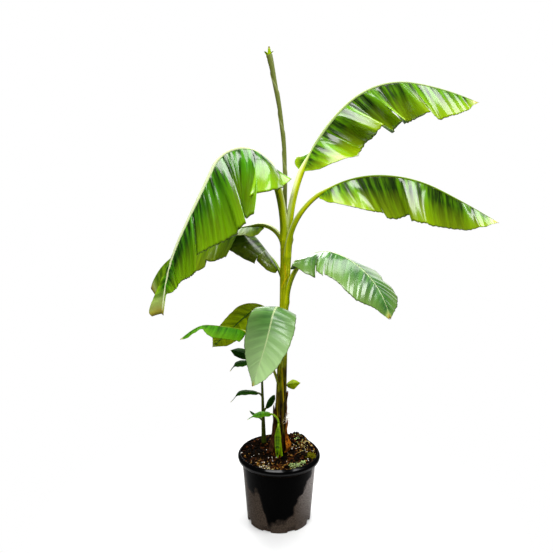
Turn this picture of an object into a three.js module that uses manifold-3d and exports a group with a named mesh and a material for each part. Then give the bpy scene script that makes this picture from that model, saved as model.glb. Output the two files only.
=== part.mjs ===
// A hardy banana plant in a black nursery pot: pot, soil, pseudostem, a rolled spear leaf, nine leaves,
// each with its own stalk and blade, dry sheaths at the foot and three small suckers.
// Millimetres, +Z up. The origin is the middle of the pot's underside, and the front of the plant faces -Y.

import * as THREE from "three";
import { mergeVertices } from "three/addons/utils/BufferGeometryUtils.js";
import Module from "manifold-3d";

const wasm = await Module();
wasm.setup();

// Driving dimensions

const CLEAR = 0.3;

const POT = {
  height: 242,
  rimRadius: 140,
  lipHeight: 22,
  lipWall: 4,
  lipDraft: 2,
  bodyTopRadius: 126,
  footRadius: 109,
  wall: 2.5,
  floor: 3,
  sides: 48,
  notches: 8,
  notchWidth: 28,
  notchHeight: 17,
  notchDepth: 14,
  edgeRound: 3,
};

const SOIL = { top: 236, flatRadius: 100, edgeDrop: 8 };

// Pseudostem: radius at each height over its own foot, and its lean to the right.
const STEM = {
  foot: [1, 18],
  leanDeg: 1.75,
  top: 965,
  sides: 16,
  heights: [0, 40, 110, 200, 360, 520, 660, 729],
  radii: [27, 23, 19, 17.5, 15.5, 14.5, 17, 19],
};

const SPEAR = {
  foot: [-3, 12],
  length: 598,
  heading: 180,
  rise: [89, 90, 82, 78],
  radii: [7.5, 7.5, 7, 6],
  sides: 8,
  frayLength: 22,
  frayRadius: 2,
  steps: 28,
};

// Leaves of the main stem. Headings: 0 is right, 90 away, 180 left, 270 to the front.
// rise: slope of the stalk's foot, of the blade's base, of the blade at one and two thirds, and of its tip.
// left, right: how far each half drops from flat, beside the rib and at the margin, in degrees.
// sweep: forward lean of the veins at the base lobe, behind the lobe, at mid blade and at the tip.
// open: share of that drop at the very base. lobe: share of the half width at the base lobe, left and right.
// tears: place along the blade, and the share of the half that is left at the tear.
const LEAVES = {
  upper_left: {
    from: 965.5, foot: [-7, -4], heading: 202, stalk: 236, blade: 715, half: 190,
    rise: [91, 67, -64, -68, -62], left: [-58, -74], right: [-40, -62], open: 0.15, sweep: [-52, -2, 46, 62],
    lobe: [0.58, 0.4], widestAt: 0.3, blunt: 0.95, splitAt: 0.22,
    tears: { left: [[0.12, 0.45], [0.5, 0.3]], right: [[0.34, 0.4], [0.6, 0.4]] },
  },
  upper_right: {
    from: 965.5, foot: [7, 3], heading: 16, stalk: 225, blade: 760, half: 160,
    rise: [90, 68, 42, -6, -20], left: [-60, -74], right: [-66, -78], open: 0.35, sweep: [-14, 12, 22, 50],
    lobe: [0.5, 0.55],
    tears: { left: [[0.3, 0.5], [0.6, 0.5]], right: [[0.4, 0.6], [0.51, 0.65], [0.7, 0.7]] },
  },
  middle_right: {
    from: 915, foot: [4, -12], heading: 342, stalk: 232, blade: 575, half: 145,
    rise: [90, 36, 2, -26, -31], left: [-56, -72], right: [-62, -76], open: 0.6, sweep: [0, 18, 26, 52],
    lobe: [0.4, 0.45], blunt: 1.5, tears: { left: [[0.35, 0.5]], right: [[0.28, 0.6], [0.46, 0.65]] },
  },
  lower_right: {
    from: 760, foot: [6, -4], heading: 318, stalk: 158, blade: 418, half: 100,
    rise: [85, 46, -8, -38, -74], left: [-2, -20], right: [-12, -34], sweep: [-14, -4, 10, 60],
    lobe: [0.5, 0.36], tears: { left: [], right: [[0.24, 0.55], [0.4, 0.7]] },
  },
  middle_left: {
    from: 905, foot: [-8, 6], heading: 160, stalk: 168, blade: 470, half: 92,
    rise: [90, -8, -23, -30, -70], left: [-50, -66], right: [-30, -52], open: 0.6, sweep: [0, 12, 22, 52],
    lobe: [0.3, 0.3], tears: { left: [[0.34, 0.6]], right: [] },
  },
  back_left: {
    from: 800, foot: [-6, 8], heading: 134, stalk: 120, blade: 300, half: 122,
    rise: [84, 48, 26, -24, -48], left: [-44, -78], right: [-20, -46], sweep: [-14, 6, 18, 50],
    lobe: [0.75, 0.5], tears: { left: [[0.3, 0.6]], right: [] },
  },
  front: {
    from: 520, foot: [2, -6], heading: 258, swing: -48, stalk: 272, blade: 286, half: 84,
    rise: [80, 50, -70, -74, -78], left: [-10, -24], right: [-8, -20], sweep: [-20, 12, 24, 58],
    lobe: [0.6, 0.6], tears: { left: [], right: [] },
  },
  turned_left: {
    from: 642, foot: [-4, 8], heading: 170, stalk: 82, blade: 236, half: 58,
    rise: [80, 40, -42, -46, -44], left: [-4, -16], right: [-4, -16], sweep: [0, 16, 26, 56],
    roll: 58, lobe: [0.5, 0.5], tears: { left: [], right: [] },
  },
  narrow_left: {
    from: 440, foot: [-4, -5], heading: 192, stalk: 245, blade: 240, half: 46,
    rise: [80, 44, 8, 6, -60], left: [-46, -66], right: [-20, -40], sweep: [0, 14, 26, 60],
    lobe: [0.4, 0.4], tears: { left: [], right: [] },
  },
};

// Suckers: a small stem each, with leaves whose stalk is part of the leaf.
const SUCKERS = {
  left: {
    foot: [-53, 58], height: 330, leanDeg: -1.2, radii: [10, 7, 5, 4],
    leaves: {
      top: {
        from: 536, heading: 164, roll: -35,
        stalk: 50, blade: 92, half: 25, rise: [70, 30, 0, -30, -50],
      },
      upper: {
        from: 500, heading: 200, roll: -25,
        stalk: 50, blade: 90, half: 24, rise: [70, 30, -10, -40, -50],
      },
      arched: {
        from: 385, heading: 188, roll: -25,
        stalk: 60, blade: 84, half: 16, rise: [80, 20, -4, -16, -48],
      },
      right: {
        from: 355, heading: 348, roll: 55,
        stalk: 20, blade: 62, half: 15, rise: [60, 62, 60, 56, 50],
      },
      dark: {
        from: 325, heading: 170,
        stalk: 16, blade: 44, half: 12, rise: [45, 40, 38, 30, 20],
      },
    },
  },
  front: {
    foot: [7, -20], height: 118, leanDeg: -4, radii: [6, 4.5, 4, 3.5],
    leaves: {
      arched: {
        from: 350, heading: 188, roll: -25,
        stalk: 44, blade: 84, half: 15, rise: [82, 20, 0, -24, -40],
      },
      hanging: {
        from: 322, heading: 250,
        stalk: 30, blade: 72, half: 10, rise: [60, -60, -80, -84, -86],
      },
    },
  },
  back: {
    foot: [9, 62], height: 228, leanDeg: 2.5, radii: [8, 6, 5, 4],
    leaves: {
      right: {
        from: 455, heading: 352, roll: 40,
        stalk: 14, blade: 46, half: 17, rise: [34, 26, 18, 6, 0],
      },
    },
  },
};

// Dry sheaths round the foot of the pseudostem, between two angles round it and two heights over the soil.
const DRY_SHEATHS = {
  right: { from: -62, to: 34, low: 6, high: 118, wall: 3, flare: 12 },
  left: { from: 128, to: 232, low: 2, high: 150, wall: 3, flare: 5 },
  upper_right: { from: -30, to: 46, low: 130, high: 216, wall: 2.5, flare: 1.5 },
};

const SHEATH = { rows: 6, columns: 6, narrowing: 0.35 };

const STALK = { footRadius: 9, endRadius: 7, sides: 8, steps: 9, smallRadius: 3 };

// Blades: thickness as a share of the length, and the places where the outline and the veins change.
const BLADE = {
  thick: 0.01,
  leastThick: 1.6,
  steps: 14,
  tearHalfGap: 0.012,
  widestAt: 0.36,
  blunt: 2.2,
  tipFall: 0.62,
  openBy: 0.2,
  lobeAt: 0.05,
  sweepAt: [0.05, 0.18, 0.5, 1],
  extraSections: [0.02, 0.05, 0.97],
  ribShare: [0.8, 0.3],
  flatFrom: 0.97,
  ribHold: 1.5,
  tipReach: 1.2,
  thickShare: 0.12,
};

// Leaves of the suckers share these halves, veins and sections.
const SMALL_LEAF = {
  left: [-14, -34],
  right: [-14, -34],
  sweep: [0, 12, 24, 56],
  lobe: [0.4, 0.4],
  tears: { left: [], right: [] },
  stalkSteps: 4,
  sections: [0, 0.06, 0.2, 0.4, 0.6, 0.8, 0.93, 1],
};
const BLADE_CORNERS = 10;

const GROWTH_STEP = 3;

const MATERIALS = {
  black_plastic: { color: 0x17181a, roughness: 0.38, metalness: 0 },
  potting_mix: { color: 0x2a1d13, roughness: 0.95, metalness: 0 },
  green_stem: { color: 0x7d8a1a, roughness: 0.5, metalness: 0 },
  leaf_stalk: { color: 0x97a81c, roughness: 0.45, metalness: 0 },
  leaf_blade: { color: 0x4f8f1e, roughness: 0.4, metalness: 0 },
  dry_sheath: { color: 0x7a451b, roughness: 0.8, metalness: 0 },
};

// Numbers and directions

const radians = THREE.MathUtils.degToRad;
const vector = (x, y, z) => new THREE.Vector3(x, y, z);

// Value at s on the straight pieces through (knots, values).
function along(s, knots, values) {
  let i = 1;
  while (i < knots.length - 1 && s > knots[i]) i += 1;
  const share = THREE.MathUtils.clamp((s - knots[i - 1]) / (knots[i] - knots[i - 1]), 0, 1);
  return THREE.MathUtils.lerp(values[i - 1], values[i], share);
}

// Closed meshes

// Skin over a row of rings with equal even counts, each turning the way the row runs.
// The two halves of a ring face each other: they share their diagonals, and rungs close each end.
function skin(rings) {
  const count = rings[0].length;
  const points = rings.flat();
  const index = [];
  for (let r = 0; r + 1 < rings.length; r += 1) {
    for (let i = 0; i < count; i += 1) {
      const a = r * count + i;
      const b = r * count + ((i + 1) % count);
      if (i < count / 2) index.push(a, b, b + count, a, b + count, a + count);
      else index.push(a, b, a + count, b, b + count, a + count);
    }
  }
  const last = (rings.length - 1) * count;
  for (let i = 0; i + 1 < count / 2; i += 1) {
    const facing = count - 1 - i;
    index.push(i + 1, i, facing, i + 1, facing, facing - 1);
    index.push(last + i, last + i + 1, last + facing - 1, last + i, last + facing - 1, last + facing);
  }
  const geometry = new THREE.BufferGeometry().setFromPoints(points);
  geometry.setIndex(index);
  geometry.computeVertexNormals();
  return geometry;
}

// A closed geometry as a solid that can be joined and cut.
function solidOf(geometry) {
  const bare = geometry.clone();
  bare.deleteAttribute("normal");
  if (bare.hasAttribute("uv")) bare.deleteAttribute("uv");
  const merged = mergeVertices(bare, 1e-3);
  const corners = merged.index.array;
  const kept = [];
  for (let i = 0; i < corners.length; i += 3) {
    const [a, b, c] = corners.slice(i, i + 3);
    if (a !== b && b !== c && c !== a) kept.push(a, b, c);
  }
  const vertProperties = new Float32Array(merged.attributes.position.array);
  return new wasm.Manifold(new wasm.Mesh({ numProp: 3, vertProperties, triVerts: new Uint32Array(kept) }));
}

function geometryOf(solid) {
  const mesh = solid.getMesh();
  const geometry = new THREE.BufferGeometry();
  geometry.setAttribute("position", new THREE.BufferAttribute(mesh.vertProperties, 3));
  geometry.setIndex(new THREE.BufferAttribute(mesh.triVerts, 1));
  geometry.computeVertexNormals();
  return geometry;
}

// What is left of a solid after cuts, without loose scraps.
function cutBy(geometry, cutters) {
  let solid = solidOf(geometry);
  for (const cutter of cutters) solid = solid.subtract(solidOf(cutter));
  const bodies = solid.decompose();
  bodies.sort((a, b) => b.volume() - a.volume());
  return geometryOf(bodies[0]);
}

// Stems and stalks

// A path that grows from its foot: its slope follows rise at the knots, its heading swings after the stalk.
// It gives, at any length along it, the point and the directions forward, to the left and over the path.
function growth({ foot, heading, swing = 0, knots, rise }) {
  const length = knots[knots.length - 1];
  const steps = Math.ceil(length / GROWTH_STEP);
  const turnAt = (s) => radians(heading + along(s, [knots[1], length], [0, swing]));
  const ahead = (s) => {
    const slope = radians(along(s, knots, rise));
    const turn = turnAt(s);
    return vector(Math.cos(slope) * Math.cos(turn), Math.cos(slope) * Math.sin(turn), Math.sin(slope));
  };
  const points = [foot.clone()];
  for (let i = 0; i < steps; i += 1) {
    const middle = ((i + 0.5) / steps) * length;
    points.push(points[i].clone().addScaledVector(ahead(middle), length / steps));
  }
  return (s) => {
    const place = THREE.MathUtils.clamp((s / length) * steps, 0, steps - 1e-6);
    const i = Math.floor(place);
    const point = points[i].clone().lerp(points[i + 1], place - i);
    const turn = turnAt(s);
    const left = vector(-Math.sin(turn), Math.cos(turn), 0);
    const forward = ahead(s);
    return { point, forward, left, over: forward.clone().cross(left) };
  };
}

// Ring of points round a place on a path.
function roundRing({ point, left, over }, radius, sides) {
  return Array.from({ length: sides }, (_, i) => {
    const turn = (2 * Math.PI * i) / sides;
    const aside = left.clone().multiplyScalar(radius * Math.cos(turn));
    return aside.addScaledVector(over, radius * Math.sin(turn)).add(point);
  });
}

// Round tapering limb on a path, between two lengths along it.
function limb(path, from, to, radiusAt, sides, steps) {
  const rings = [];
  for (let k = 0; k <= steps; k += 1) {
    const s = THREE.MathUtils.lerp(from, to, k / steps);
    rings.push(roundRing(path(s), radiusAt(s), sides));
  }
  return skin(rings);
}

// Upright stem with level rings, so that its cuts at the soil and at the top are flat.
function upright(stem, grown = 0) {
  const centres = stem.heights.map((height) => middleOf(stem, SOIL.top + CLEAR + height));
  const level = { left: vector(1, 0, 0), over: vector(0, 1, 0) };
  const rings = centres.map((point, k) => roundRing({ point, ...level }, stem.radii[k] + grown, stem.sides));
  return skin(rings);
}

// Middle of an upright stem at a height over the floor.
function middleOf({ foot, leanDeg }, z) {
  return vector(foot[0] + (z - SOIL.top - CLEAR) * Math.tan(radians(leanDeg)), foot[1], z);
}

// Leaves

function leafKnots({ stalk, blade }) {
  return [0, stalk, stalk + blade / 3, stalk + (2 * blade) / 3, stalk + blade];
}

function leafPath(leaf, stem) {
  const foot = middleOf(stem, leaf.from);
  const [aside, back] = leaf.foot ?? [0, 0];
  foot.x += aside;
  foot.y += back;
  return growth({ foot, heading: leaf.heading, swing: leaf.swing, knots: leafKnots(leaf), rise: leaf.rise });
}

// Share of the half width at v: a quick start, the base lobe, the widest place, then a blunt fall to the tip.
function outline(v, lobe, { widestAt = BLADE.widestAt, blunt = BLADE.blunt }) {
  if (v < BLADE.lobeAt) return lobe * Math.sqrt(v / BLADE.lobeAt);
  if (v < widestAt) {
    const share = (v - BLADE.lobeAt) / (widestAt - BLADE.lobeAt);
    return lobe + (1 - lobe) * Math.sin((share * Math.PI) / 2);
  }
  const fall = (v - widestAt) / (1 - widestAt);
  return (1 - fall ** blunt) ** BLADE.tipFall;
}

function torn(v, tears) {
  const tear = tears.find(([place]) => Math.abs(place - v) < BLADE.tearHalfGap / 2);
  return tear ? tear[1] : 1;
}

// Places along a blade where it has a section: even steps, the base lobe, and three at each tear.
function stations(leaf, from, to) {
  const places = new Set([from, to, ...BLADE.extraSections]);
  for (let k = 0; k <= BLADE.steps; k += 1) places.add(k / BLADE.steps);
  const tears = [...leaf.tears.left, ...leaf.tears.right].map(([place]) => place);
  const near = (v) => tears.some((place) => Math.abs(place - v) < 2 * BLADE.tearHalfGap);
  const kept = [...places].filter((v) => v >= from && v <= to && (v === from || v === to || !near(v)));
  for (const place of tears) {
    for (const v of [place - BLADE.tearHalfGap, place, place + BLADE.tearHalfGap]) {
      if (v > from && v < to) kept.push(v);
    }
  }
  return kept.sort((a, b) => a - b);
}

// One section of a blade: two halves that leave the rib at their folds, swept forward in their own plane.
function bladeSection(leaf, path, v, thick, ribRadius) {
  const { point, forward, left, over } = path(leaf.stalk + v * leaf.blade);
  const roll = radians(leaf.roll ?? 0);
  const aside = left.clone().multiplyScalar(Math.cos(roll)).addScaledVector(over, Math.sin(roll));
  const upward = forward.clone().cross(aside);
  const sweep = radians(along(v, BLADE.sweepAt, leaf.sweep));
  const opening = along(v, [0, BLADE.openBy, BLADE.flatFrom, 1], [leaf.open ?? 1, 1, 1, 0]);
  const half = (side, folds, lobe, tears) => {
    const full = leaf.half * outline(v, lobe, leaf) * torn(v, tears);
    const length = Math.max(Math.min(full, BLADE.tipReach * (1 - v) * leaf.blade), BLADE.ribHold * ribRadius);
    const places = [point];
    const ups = [];
    for (const share of [0.25, 0.75]) {
      const fold = radians(THREE.MathUtils.lerp(folds[0], folds[1], share) * opening);
      const out = aside.clone().multiplyScalar(side * Math.cos(fold)).addScaledVector(upward, Math.sin(fold));
      const step = out.multiplyScalar(Math.cos(sweep)).addScaledVector(forward, Math.sin(sweep));
      places.push(places[places.length - 1].clone().addScaledVector(step, length / 2));
      ups.push(upward.clone().multiplyScalar(Math.cos(fold)).addScaledVector(aside, -side * Math.sin(fold)));
    }
    const middleUp = ups[0].clone().add(ups[1]).normalize();
    return { length, middle: places[1], margin: places[2], middleUp, marginUp: ups[1] };
  };
  const lifted = (place, up, by) => place.clone().addScaledVector(up, by);
  const l = half(1, leaf.left, leaf.lobe[0], leaf.tears.left);
  const r = half(-1, leaf.right, leaf.lobe[1], leaf.tears.right);
  const t = Math.min(thick / 2, BLADE.thickShare * Math.min(l.length, r.length));
  return [
    lifted(l.margin, l.marginUp, t), lifted(l.middle, l.middleUp, t), lifted(point, upward, t),
    lifted(r.middle, r.middleUp, t), lifted(r.margin, r.marginUp, t),
    lifted(r.margin, r.marginUp, -t), lifted(r.middle, r.middleUp, -t), lifted(point, upward, -2 * ribRadius),
    lifted(l.middle, l.middleUp, -t), lifted(l.margin, l.marginUp, -t),
  ];
}

// The rib thins from the stalk's end to the tip.
function ribRadiusAt(v, base) {
  return base * THREE.MathUtils.lerp(BLADE.ribShare[0], BLADE.ribShare[1], v);
}

// A blade between two places along it.
function bladeGeometry(leaf, path, from, to) {
  const thick = Math.max(leaf.blade * BLADE.thick, BLADE.leastThick);
  const sectionAt = (v) => bladeSection(leaf, path, v, thick, ribRadiusAt(v, STALK.endRadius));
  return skin(stations(leaf, from, to).map(sectionAt));
}

function stalkGeometry(leaf, path, grown = 0) {
  const radiusAt = (s) => THREE.MathUtils.lerp(STALK.footRadius, STALK.endRadius, s / leaf.stalk) + grown;
  return limb(path, 0, leaf.stalk - CLEAR + grown, radiusAt, STALK.sides, STALK.steps);
}

// A sucker's leaf: stalk and blade in one, the stalk as a slim round start.
function smallLeafGeometry(leaf, path) {
  const thick = Math.max(leaf.blade * BLADE.thick, BLADE.leastThick);
  const rings = [];
  for (let k = 0; k < SMALL_LEAF.stalkSteps; k += 1) {
    const start = path((k / SMALL_LEAF.stalkSteps) * leaf.stalk);
    rings.push(roundRing(start, STALK.smallRadius, BLADE_CORNERS));
  }
  const whole = { ...SMALL_LEAF, ...leaf };
  for (const v of SMALL_LEAF.sections) {
    rings.push(bladeSection(whole, path, v, thick, ribRadiusAt(v, STALK.smallRadius) / 2));
  }
  return skin(rings);
}

// Dry sheath: part of a thin sleeve round the pseudostem that flares away from it at its foot.
function sheathGeometry({ from, to, low, high, wall, flare }) {
  const { rows, columns, narrowing } = SHEATH;
  const base = SOIL.top + CLEAR;
  const rings = [];
  for (let r = 0; r <= rows; r += 1) {
    const up = r / rows;
    const height = THREE.MathUtils.lerp(low, high, up);
    const middle = middleOf(STEM, base + height);
    const inner = along(height, STEM.heights, STEM.radii) + 2 * CLEAR + flare * (1 - up) ** 2;
    const spread = 1 - narrowing * up;
    const at = (share, reach) => {
      const turn = radians((from + to) / 2 + (share - 0.5) * (to - from) * spread);
      return middle.clone().add(vector(reach * Math.cos(turn), reach * Math.sin(turn), 0));
    };
    const ring = [];
    for (let c = 0; c <= columns; c += 1) ring.push(at(c / columns, inner + wall));
    for (let c = columns; c >= 0; c -= 1) ring.push(at(c / columns, inner));
    rings.push(ring);
  }
  return skin(rings);
}

// Pot and soil

// Outside wall up to the lip, over the rim and down the inside, turned about the pot's axis.
function potGeometry() {
  const lipFoot = POT.height - POT.lipHeight;
  const round = POT.edgeRound;
  const inLip = POT.rimRadius - POT.lipWall;
  const profile = [
    [0, 0], [POT.footRadius - round, 0], [POT.footRadius, round], [POT.bodyTopRadius, lipFoot],
    [POT.rimRadius - round, lipFoot + round], [POT.rimRadius, POT.height - round],
    [POT.rimRadius - round / 2, POT.height], [inLip, POT.height], [inLip - POT.lipDraft, lipFoot + 2 * round],
    [POT.bodyTopRadius - POT.wall, lipFoot], [POT.footRadius - POT.wall, POT.floor], [0, POT.floor],
  ];
  return turned(profile);
}

function turned(profile) {
  const outlinePoints = profile.map(([r, z]) => new THREE.Vector2(r, z));
  return new THREE.LatheGeometry(outlinePoints, POT.sides).rotateX(Math.PI / 2);
}

// Drain notches at the foot of the wall.
function notchGeometries() {
  return Array.from({ length: POT.notches }, (_, i) => {
    const turn = (2 * Math.PI * (i + 0.5)) / POT.notches;
    const box = new THREE.BoxGeometry(POT.notchDepth, POT.notchWidth, 2 * POT.notchHeight);
    return box.translate(POT.footRadius, 0, 0).rotateZ(turn);
  });
}

function soilGeometry() {
  const lipFoot = POT.height - POT.lipHeight;
  const gap = 2 * CLEAR;
  const edge = SOIL.top - SOIL.edgeDrop;
  return turned([
    [0, POT.floor + gap], [POT.footRadius - POT.wall - gap, POT.floor + gap],
    [POT.bodyTopRadius - POT.wall - gap, lipFoot + gap],
    [POT.rimRadius - POT.lipWall - POT.lipDraft - gap, edge],
    [SOIL.flatRadius, SOIL.top], [0, SOIL.top],
  ]);
}

// The plant

const plant = new THREE.Group();

function add(name, geometry, material) {
  const finish = new THREE.MeshStandardMaterial(MATERIALS[material]);
  const mesh = new THREE.Mesh(geometry, finish);
  mesh.name = name;
  plant.add(mesh);
}

const stemGrown = upright(STEM, CLEAR);
add("pot", cutBy(potGeometry(), notchGeometries()), "black_plastic");
add("soil", soilGeometry(), "potting_mix");
add("pseudostem", upright(STEM), "green_stem");

for (const [name, sheath] of Object.entries(DRY_SHEATHS)) {
  add(`dry_sheath_${name}`, sheathGeometry(sheath), "dry_sheath");
}

// The spear leaf stands on the fork, rolled tight, with a frayed end.
const spearKnots = SPEAR.rise.map((_, i) => (SPEAR.length * i) / (SPEAR.rise.length - 1));
const spearFoot = middleOf(STEM, STEM.top + 2 * CLEAR).add(vector(SPEAR.foot[0], SPEAR.foot[1], 0));
const spearPath = growth({ foot: spearFoot, heading: SPEAR.heading, knots: spearKnots, rise: SPEAR.rise });
const frayFrom = SPEAR.length - SPEAR.frayLength;
const frayRadii = [SPEAR.radii[SPEAR.radii.length - 1], SPEAR.frayRadius];
const frayed = (s) => along(s, [frayFrom, SPEAR.length], frayRadii);
const spearRadius = (s) => (s > frayFrom ? frayed(s) : along(s, spearKnots, SPEAR.radii));

function spearGeometry(grown) {
  return limb(spearPath, 0, SPEAR.length, (s) => spearRadius(s) + grown, SPEAR.sides, SPEAR.steps);
}

add("spear_leaf", spearGeometry(0), "leaf_stalk");

const taken = [stemGrown, spearGeometry(CLEAR)];
for (const [name, leaf] of Object.entries(LEAVES)) {
  const path = leafPath(leaf, STEM);
  add(`stalk_${name}`, cutBy(stalkGeometry(leaf, path), taken), "leaf_stalk");
  const stalkClear = stalkGeometry(leaf, path, CLEAR);
  taken.push(stalkClear);
  if (leaf.splitAt) {
    const gap = (2 * CLEAR) / leaf.blade;
    const inner = bladeGeometry(leaf, path, 0, leaf.splitAt - gap);
    add(`blade_${name}_inner`, cutBy(inner, [stalkClear]), "leaf_blade");
    add(`blade_${name}_outer`, bladeGeometry(leaf, path, leaf.splitAt + gap, 1), "leaf_blade");
  } else {
    add(`blade_${name}`, cutBy(bladeGeometry(leaf, path, 0, 1), [stalkClear]), "leaf_blade");
  }
}

for (const [place, sucker] of Object.entries(SUCKERS)) {
  const heights = sucker.radii.map((_, i) => (sucker.height * i) / (sucker.radii.length - 1));
  const stem = { ...sucker, heights, sides: STALK.sides };
  add(`sucker_${place}_stem`, upright(stem), "green_stem");
  const stemClear = upright(stem, CLEAR);
  for (const [name, leaf] of Object.entries(sucker.leaves)) {
    const path = leafPath(leaf, stem);
    add(`sucker_${place}_leaf_${name}`, cutBy(smallLeafGeometry(leaf, path), [stemClear]), "leaf_blade");
  }
}

export default plant;
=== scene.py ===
"""A hardy banana plant in a black nursery pot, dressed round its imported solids.

Lengths are millimetres and angles are degrees until put() makes a mesh in metres. Headings turn
anticlockwise seen from above: 0 is to the right, 90 away, 180 to the left and 270 to the front.
"""

import bpy
import numpy as np
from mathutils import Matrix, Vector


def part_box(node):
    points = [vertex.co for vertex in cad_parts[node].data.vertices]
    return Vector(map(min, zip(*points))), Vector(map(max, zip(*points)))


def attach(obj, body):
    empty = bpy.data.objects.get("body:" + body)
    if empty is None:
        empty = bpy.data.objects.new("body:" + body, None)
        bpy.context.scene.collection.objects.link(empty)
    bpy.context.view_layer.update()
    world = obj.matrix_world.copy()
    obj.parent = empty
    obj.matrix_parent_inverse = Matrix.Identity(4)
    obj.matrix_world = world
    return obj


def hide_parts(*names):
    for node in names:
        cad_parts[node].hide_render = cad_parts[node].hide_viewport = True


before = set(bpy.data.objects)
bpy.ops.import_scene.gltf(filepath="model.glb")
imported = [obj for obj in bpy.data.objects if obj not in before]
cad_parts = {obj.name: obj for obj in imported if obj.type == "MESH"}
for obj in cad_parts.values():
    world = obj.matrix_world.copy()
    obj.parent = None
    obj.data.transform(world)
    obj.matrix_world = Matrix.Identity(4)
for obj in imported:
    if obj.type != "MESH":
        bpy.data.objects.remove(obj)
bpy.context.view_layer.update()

MM = 0.001

# Pot and soil, as the solids have them; the lip's skirt and round edges are the scene's own
POT = dict(
    height=242, rim=140, lip=22, lip_skirt=5, lip_wall=4, body_top=126, foot=109, edge_round=6,
    notches=8, notch_width=28, notch_height=17, notch_depth=7, notch_flare=1.06,
)
SOIL_TOP = 236
SOIL_FLAT = 100
SOIL_DROP = 4
SOIL_WALL = 134
SOIL_SKIRT = 26
# The soil's surface: heaps as (rise, middle, width), a rise to the back between two places, and bumps
SOIL_HEAPS = ((22, (66, 92), 38), (12, (-53, 58), 24))
SOIL_BACK = (7, -60, 110)
BUMP_LENGTHS = (14, 70)
BUMP_STEEPNESS = 0.055

# What lies on the soil: kind, count, smallest and largest size, and the place and spread of a patch.
# The kinds are 0 dark bark, 1 russet bark, 2 tan bark, 3 perlite and 4 bleached bark
CRUMBS = (
    (0, 760, 4, 13, None, 0), (1, 260, 4, 12, None, 0), (2, 40, 3, 9, None, 0), (3, 70, 1.5, 4, None, 0),
    (2, 46, 3, 8, (-70, -74), 16), (4, 40, 2.5, 6, (-42, -104), 12), (3, 20, 2, 4, (-50, -96), 16),
    (2, 70, 2.5, 6, (10, -96), 30), (1, 90, 3, 7, (10, -90), 34),
    (4, 54, 2, 5, (88, 46), 20), (2, 70, 2.5, 7, (84, 40), 28),
)
CRUMB_SHAPES = ((1, 0.55, 0.32), (1, 0.55, 0.32), (1, 0.6, 0.4), (1, 0.9, 0.8), (1, 0.8, 0.6))
CRUMB_LIFT = 0.8
# Moss and seedlings: count, place and spread of each patch
MOSS_PATCH = (110, (108, -20), 7)
SEEDLING_CLUMPS = ((34, (46, -98), 5), (26, (64, -88), 5), (34, (80, -76), 5), (16, (70, 64), 9))

# Trunk, rolled leaf and papery sheaths
STEM = dict(
    foot=(1, 18), lean=1.75, base=236.3, top=965,
    heights=(0, 40, 110, 200, 360, 520, 660, 729), radii=(27, 23, 19, 17.5, 15.5, 14.5, 17, 19),
)
CROWN_RISE = 24
CROWN_RADIUS = 11
# Free edges of the wrapped sheaths: how far an edge fades in, over how many degrees the sheath falls
# away from it, how wide its line is; (height, heading) down each edge, and how proud the sheath is
EDGE_FADE = 8
SHEATH_FALL = 70
EDGE_LINE = 1.7
SHEATH_EDGES = (
    (((985, 320), (926, 236), (894, 258), (851, 275)), 2.4),
    (((851, 292), (835, 262), (812, 232)), 2.0),
    (((700, 215), (560, 262), (420, 300)), 1.1),
    (((940, 60), (760, 20), (600, 330)), 1.2),
    (((880, 150), (720, 110), (520, 70)), 1.2),
    (((480, 200), (380, 235), (290, 280)), 1.4),
)
# Rolled leaf: how deep its foot sits in the trunk and how long its end is frayed; radii at shares of
# the length; turns of the lapped edge, the radius's share where the lap starts and its growth round
# the section; flaps of the frayed end as (turn in radians, length, curl)
SPEAR = dict(
    height=965.6, foot=(-3, 12), heading=180, length=598, rise=(89, 90, 81, 76), below=70, fray=22,
    wide_at=(0, 0.33, 0.67, 0.84, 0.94, 1), radii=(7.2, 6.8, 6.9, 7.4, 9.2, 9), lap_turns=-4.9,
    lap_from=0.86, lap_step=0.3, flap_wall=0.8,
    flaps=((0.5, 25, 0.3), (1.2, 9, 0.9), (2.9, 14, 0.5), (5.3, 14, 0.6)),
)
# Papery sheaths: headings of both sides, heights over the trunk's foot, how far the top curls out, how
# far the sheet stands off, flares and scoops, how much it narrows and how ragged its top is
DRY_SHEATHS = {
    "right": dict(
        start=-62, end=34, low=6, high=118, curl=4.8, stand=2.2, flare=7, scoop=8, narrowing=0.65,
        ragged=26,
    ),
    "left": dict(
        start=128, end=232, low=2, high=172, curl=4.8, stand=4, flare=6, scoop=0, narrowing=0.1, ragged=44,
    ),
    "upper_right": dict(
        start=-30, end=46, low=130, high=216, curl=4, stand=2.2, flare=1.5, scoop=0, narrowing=0.35,
        ragged=18,
    ),
}
FIBRES = dict(count=14, headings=(-100, 25), heights=(100, 128), lengths=(12, 26), radii=(0.9, 0.5))

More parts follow.
